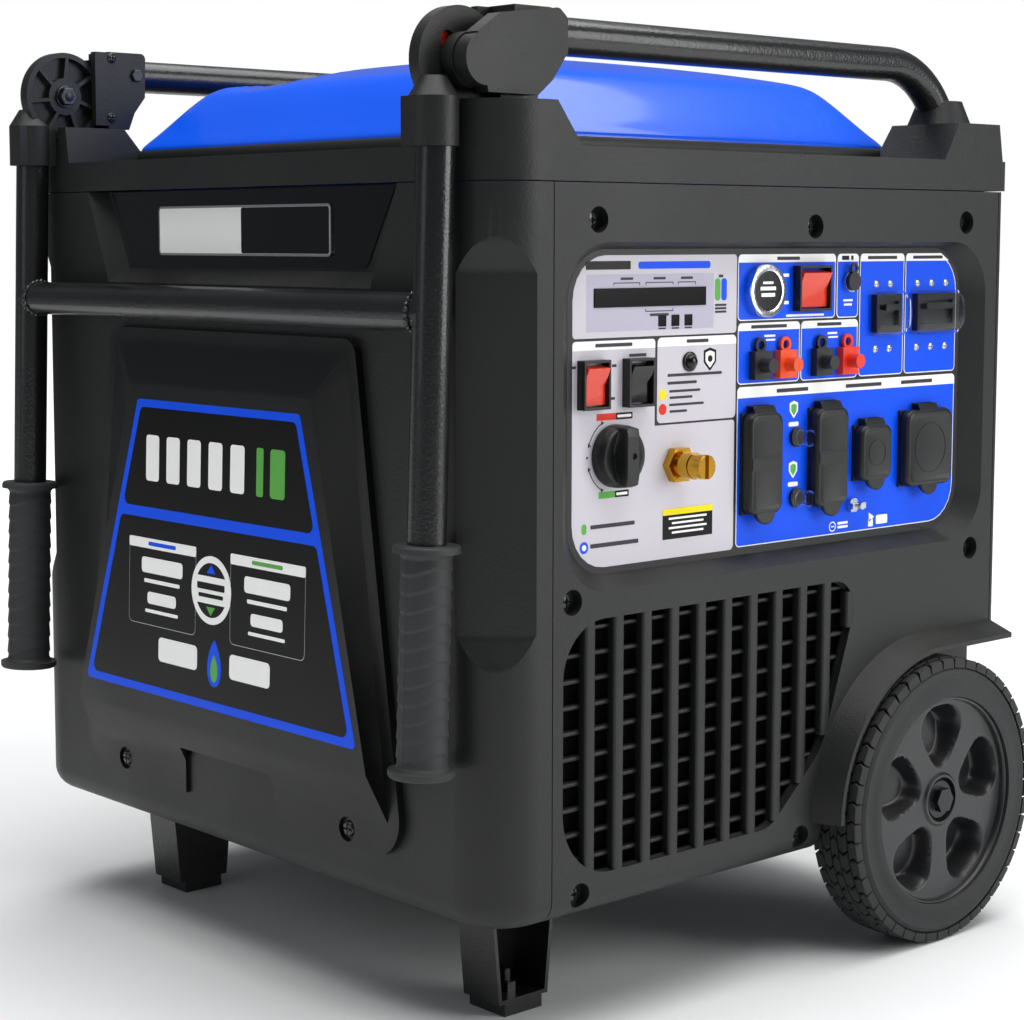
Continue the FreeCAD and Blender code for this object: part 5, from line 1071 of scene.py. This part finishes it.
def weather_lid(node, band=False, ring=0.0):
    """Lid with its hinge block and tongue; a band or a ring may stand on its face."""
    low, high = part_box(node)
    x0, x1 = ((v.x - CASE_MIDDLE) / MM for v in (low, high))
    z0, z1, top = low.z / MM + TONGUE_BELOW, high.z / MM - HINGE_ABOVE, high.z / MM
    x, middle = (x0 + x1) / 2, (z0 + z1) / 2
    lid = bmesh.new()
    rings = []
    for inset, h, radius in ((0.6, 3.0, 8.14), (0, 3.6, 8.5), (0, 8.2, 8.5), (0.7, 10.0, 8.08), (2.2, 11.2, 7.18),
                             (3.6, 11.55, 6.34), (4.6, 11.2, 4.66)):
        outline = oblong(x0 + inset, x1 - inset, z0 + inset, z1 - inset, radius, 7)
        rings.append([on_plate(p.x, p.y, h) for p in outline])
    skin_rings(lid, rings)
    if band:
        for half, h0, h1 in ((5.6, 11.0, 11.6), (3.8, 11.0, 11.95)):
            prism(lid, oblong(x0 + 2.6, x1 - 2.6, middle - half, middle + half, 1.2, 4), on_plate, h0, h1)
    if ring:
        loops = [[on_plate(*round_point(x, middle, radius, a), h) for a in turns(48)]
                 for radius, h in ((ring, 11.0), (ring, 11.5), (ring - 1.0, 11.5), (ring - 1.0, 11.0))]
        skin_rings(lid, loops + [loops[0]], (False, False))
    block = ((3.2, top - 8), (3.2, top - 0.2), (6.2, top), (7.6, top - 1.6), (10.2, top - 7.2), (9.0, top - 8.5))
    skin_rings(lid, [[on_plate(x + s, z, h) for h, z in block]
                     for s in (-HINGE_HALF, -HINGE_HALF + 0.7, HINGE_HALF - 0.7, HINGE_HALF)])
    tongue = [(11.0 * math.cos(angle), 9.4 * math.sin(angle))
              for angle in (math.pi + math.pi * k / 12 for k in range(13))]
    skin_rings(lid, [[on_plate(x + u * s, z0 + 2.2 + v * s, h + abs(v) * 0.16) for u, v in tongue]
                     for h, s in ((6.8, 1.0), (8.2, 1.06), (9.6, 1.06), (10.6, 0.95))])
    return finish_piece(node + "_lid", lid, node, "panel_plastic", node=node, crease=35)


for node, band, ring in (("duplex_cover_left", True, 0), ("duplex_cover_right", True, 0),
                         ("twist_lock_cover", False, 11), ("range_cover", False, 21)):
    weather_lid(node, band, ring)

# %% [markdown]
# ## Fuel knob
# A round knob with scooped cheeks that leave an upright bar to hold. Its face is one height over a
# polar grid, like the wheels.

# %% Knob
KNOB_LOW, KNOB_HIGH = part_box("fuel_knob")
KNOB_RADIUS = (KNOB_HIGH.z - KNOB_LOW.z) / 2 / MM
KNOB_RINGS, KNOB_SPOKES, FLUTES = 40, 144, 14


def knob_height(u, v):
    """Height of the knob's face over its plate."""
    radius = math.hypot(u, v)
    floor = 7.5 + 4.5 * ease(radius, 6, 21) - 6.0 * ease(radius, 20.5, 23.6)
    grip = 1 - ease(abs(u - 1.0), 6.0, 8.6)
    top = 19.8 - 1.2 * ease(radius, 15, 23) - 9.5 * ease(radius, 21.6, 23.6)
    dimple = 2.6 * (1 - ease(math.hypot(u - 2.2, v - 0.5), 1.6, 2.5))
    return floor + (top - floor) * grip - dimple


knob = bmesh.new()
rings = []
for k in range(KNOB_RINGS + 1):
    radius = max(0.3, (KNOB_RADIUS - 0.05) * k / KNOB_RINGS)
    ring = []
    for angle in turns(KNOB_SPOKES):
        edge = radius * (1 - 0.022 * (0.5 - 0.5 * math.cos(FLUTES * angle)) * ease(k, 30, KNOB_RINGS))
        u, v = edge * math.cos(angle), edge * math.sin(angle)
        ring.append(on_plate(KNOB.x + u, KNOB.z + v, knob_height(u, v)))
    rings.append(ring)
rings.append([on_plate(*round_point(KNOB.x, KNOB.z, KNOB_RADIUS - 0.1, angle), 0.9) for angle in turns(KNOB_SPOKES)])
skin_rings(knob, rings)
finish_piece("fuel_knob_grip", knob, "fuel_knob", "panel_plastic", node="fuel_knob", crease=50)

# %% [markdown]
# ## Screws
# One cross-recessed screw head is modelled, and the point tree copies it: bright ones beside the
# breakers, black ones down in the case's recesses.

# %% One screw head
def screw_head(radius, height):
    """Domed head about the origin that faces -y, with a cross cut by lowering its middle points."""
    shape = bmesh.new()
    rings = []
    for share, rise in ((1.0, 0.0), (1.0, 0.35), (0.86, 0.78), (0.62, 0.95), (0.34, 1.0), (0.08, 1.0)):
        ring = []
        for k in range(24):
            angle = math.tau * k / 24
            cut = 0.75 if share < 0.1 or (share < 0.7 and k % 6 == 0) else 0
            ring.append(Vector((radius * share * math.cos(angle), -height * (rise - cut),
                                radius * share * math.sin(angle))))
        rings.append(ring)
    skin_rings(shape, rings)
    bmesh.ops.recalc_face_normals(shape, faces=shape.faces)
    bmesh.ops.scale(shape, vec=(MM, MM, MM), verts=shape.verts)
    mesh = bpy.data.meshes.new("screw_head")
    shape.to_mesh(mesh)
    shape.free()
    return new_object("screw_head", mesh)


def screws(name, spots, radius, height, slot, node=None, turn=0):
    """A piece of screw heads at (x, y, z) places in millimetres, turned about z by some degrees."""
    head = screw_head(radius, height)
    head.data.transform(Matrix.Rotation(math.radians(turn), 4, "Z"))
    points = bpy.data.meshes.new(name + "_points")
    points.from_pydata([TO_FRAME @ Vector(spot) for spot in spots], [], [])
    made = run_tree(point_tree, points, name, Shape=head, Material=FINISH[slot])
    bpy.data.objects.remove(head)
    return adopt(name, made, "root", slot, node=node)


# %% Place the screws
breaker_spots = [(x, PLATE_Y + 0.1, z) for z in (553.4, 500.3) for x in (139.5, 157.5, 194, 213, 232.5)]
screws("breaker_screws", breaker_spots, 3.2, 1.1, "bright_steel")
CASE_SCREWS = ((-193.6, 604), (45, 600), (241, 604), (-218, 330), (256, 326), (-209, 112), (38, 111))
screws("case_screws", [(x, SIDE_Y + 8.9, z) for x, z in CASE_SCREWS], 6.1, 2.7, "black_paint", "fasteners")
bracket_spots = [(-242, 250.1, 749), (-243, 250.1, 697)]
screws("bracket_screws", bracket_spots, 4.4, 2.0, "black_paint")
screws("cover_screws", [(END_X - 3.1, y, 146) for y in (-154, 154)], 6.1, 2.7, "black_paint", turn=-90)

# %% [markdown]
# The handle turns on two hexagon bolts. Each has a chamfered nut, a washer and the bolt's domed end.

# %% Hinge bolts
PIVOT = Vector((-285, 0, 714))
CLAMP = Vector((68, 0, 21))
bolts = bmesh.new()
for way in (-1, 1):
    def section(y, radius, sides):
        """Ring of a bolt's part about the pivot."""
        return [PIVOT + Vector((radius * math.cos(a), way * y, radius * math.sin(a))) for a in turns(sides)]
    skin_rings(bolts, [section(y, r, 30) for y, r in ((257.6, 9.0), (257.6, 9.5), (256.2, 9.5), (255.8, 9.1))])
    skin_rings(bolts, [section(y, r, 6) for y, r in ((256.0, 8.2), (251.6, 8.2), (251.1, 7.5))])
    skin_rings(bolts, [section(y, r, 20) for y, r in ((283, 5.0), (252, 5.0), (251.0, 4.4), (250.4, 2.4))])
    skin_rings(bolts, [[p + CLAMP for p in section(y, r, 6)] for y, r in ((250.1, 5.8), (247.2, 5.8), (246.7, 5.2))])
finish_piece("hinge_bolts", bolts, "root", "bright_steel", FINISH["steel_core"])

# %% [markdown]
# Two last fittings on the panel: the alarm's sensor is a small black dome in a ring, and the start button
# carries a light mark, which stays plain bars here.

# %% Sensor dome and start mark
SENSOR_X, SENSOR_Z = -83.3, 498
DOME = ((7.6, 0.1), (7.6, 1.4), (7.0, 1.8), (5.9, 1.8), (5.7, 2.6), (5.0, 4.2), (3.6, 5.4), (1.8, 6.1), (0.3, 6.3))
dome = bmesh.new()
skin_rings(dome, [[on_plate(*round_point(SENSOR_X, SENSOR_Z, r, a), h) for a in turns(32)] for r, h in DOME])
finish_piece("sensor_dome", dome, "root", "black_gloss", crease=40)
BUTTON_LOW, BUTTON_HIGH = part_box("start_button")
BUTTON = ((BUTTON_LOW + BUTTON_HIGH) / 2 - Vector((CASE_MIDDLE, 0, 0))) / MM


def on_button(u, v, h):
    """Point on the start button's face."""
    return Vector((BUTTON.x + u, BUTTON_LOW.y / MM - h, BUTTON.z + v))


printed("start_mark", [bar(0, 6.2, 12, 1.9, 0, "white", 0.4), bar(0, 1.8, 18, 2.9, 0, "white", 0.4),
                       bar(0, -3.2, 16, 2.9, 0, "white", 0.4)], on_button, "black_gloss", "start_button")

# %% [markdown]
# ## The studio
# A pale floor fades into white with distance. A big soft light hangs above, a softbox stands towards the
# control side and a weaker one towards the front end. The sky is white where it is looked at and darker
# where it is only reflected, which keeps black plastic black.

# %% Floor
FLOOR_RADIUS, FADE_START, FADE_END = 40.0, 1.0, 3.4
floor_mesh = bpy.data.meshes.new("studio_floor")
shape = bmesh.new()
bmesh.ops.create_circle(shape, cap_ends=True, segments=96, radius=FLOOR_RADIUS)
shape.to_mesh(floor_mesh)
shape.free()
floor = new_object("studio_floor", floor_mesh)
floor_finish = opaque("Studio floor", "f4f4f4", 0.6, 60.0, 0.01, 0.01, 0.0, 0.0, specular=0.2)
floor_nodes = floor_finish.node_tree
distance = node_in(floor_nodes, "ShaderNodeVectorMath", operation="LENGTH")
floor_nodes.links.new(node_in(floor_nodes, "ShaderNodeTexCoord").outputs["Object"], distance.inputs[0])
far_away = spread(floor_nodes, distance.outputs["Value"], FADE_START, FADE_END, 0.0, 1.0)
seen_directly = node_in(floor_nodes, "ShaderNodeLightPath").outputs["Is Camera Ray"]
floor_shader = floor_nodes.nodes["Principled BSDF"]
floor_nodes.links.new(tint(floor_nodes, maths(floor_nodes, "MULTIPLY", far_away, seen_directly), tone("000000"),
                           tone("ffffff")), floor_shader.inputs["Emission Color"])
floor_shader.inputs["Emission Strength"].default_value = 1.0
floor_mesh.materials.append(floor_finish)

# %% Sky
world = bpy.data.worlds.new("Studio sky")
bpy.context.scene.world = world
world.use_nodes = True
sky = world.node_tree
sky.nodes.clear()
rays = node_in(sky, "ShaderNodeLightPath")
seen = node_in(sky, "ShaderNodeBackground", Color=(1.0, 1.0, 1.0, 1.0), Strength=1.0)
reflected = node_in(sky, "ShaderNodeBackground", Color=(0.9, 0.94, 1.0, 1.0), Strength=0.16)
either = node_in(sky, "ShaderNodeMixShader")
sky.links.new(rays.outputs["Is Camera Ray"], either.inputs[0])
sky.links.new(reflected.outputs[0], either.inputs[1])
sky.links.new(seen.outputs[0], either.inputs[2])
sky.links.new(either.outputs[0], node_in(sky, "ShaderNodeOutputWorld").inputs[0])


# %% Softboxes
def softbox(name, stand, aim, size, power):
    """Area light that stands at a place in metres, turned to a point."""
    data = bpy.data.lights.new(name, "AREA")
    data.shape = "RECTANGLE"
    data.size, data.size_y = size
    data.energy = power
    light = new_object(name, data)
    light.location = stand
    light.rotation_euler = (Vector(aim) - Vector(stand)).to_track_quat("-Z", "Y").to_euler()


softbox("overhead_softbox", (0.1, -0.2, 3.0), (0.0, 0.0, 0.0), (3.6, 3.2), 150.0)
softbox("control_side_softbox", (1.5, -2.6, 1.2), (0.1, -0.2, 0.35), (1.6, 1.8), 42.0)
softbox("front_end_softbox", (-2.7, 0.4, 1.3), (-0.2, 0.0, 0.4), (1.2, 1.8), 5.0)
print("lights:", [light.name for light in bpy.data.lights])

# %% [markdown]
# ## The camera
# A longish lens at knee height, a little left of the machine's front corner.

# %% Camera
YAW, PITCH = math.radians(48.512), math.radians(5.887)
lens = bpy.data.cameras.new("camera")
lens.lens, lens.sensor_width = 77.52, 36.0
lens.shift_x, lens.shift_y = 0.0316, -0.0419
camera = new_object("camera", lens)
camera.location = (-1.2867, -1.4433, 0.5897)
camera.rotation_euler = (math.pi / 2 - PITCH, 0.0, YAW - math.pi / 2)
bpy.context.scene.camera = camera
bpy.context.scene.view_settings.view_transform = "Standard"
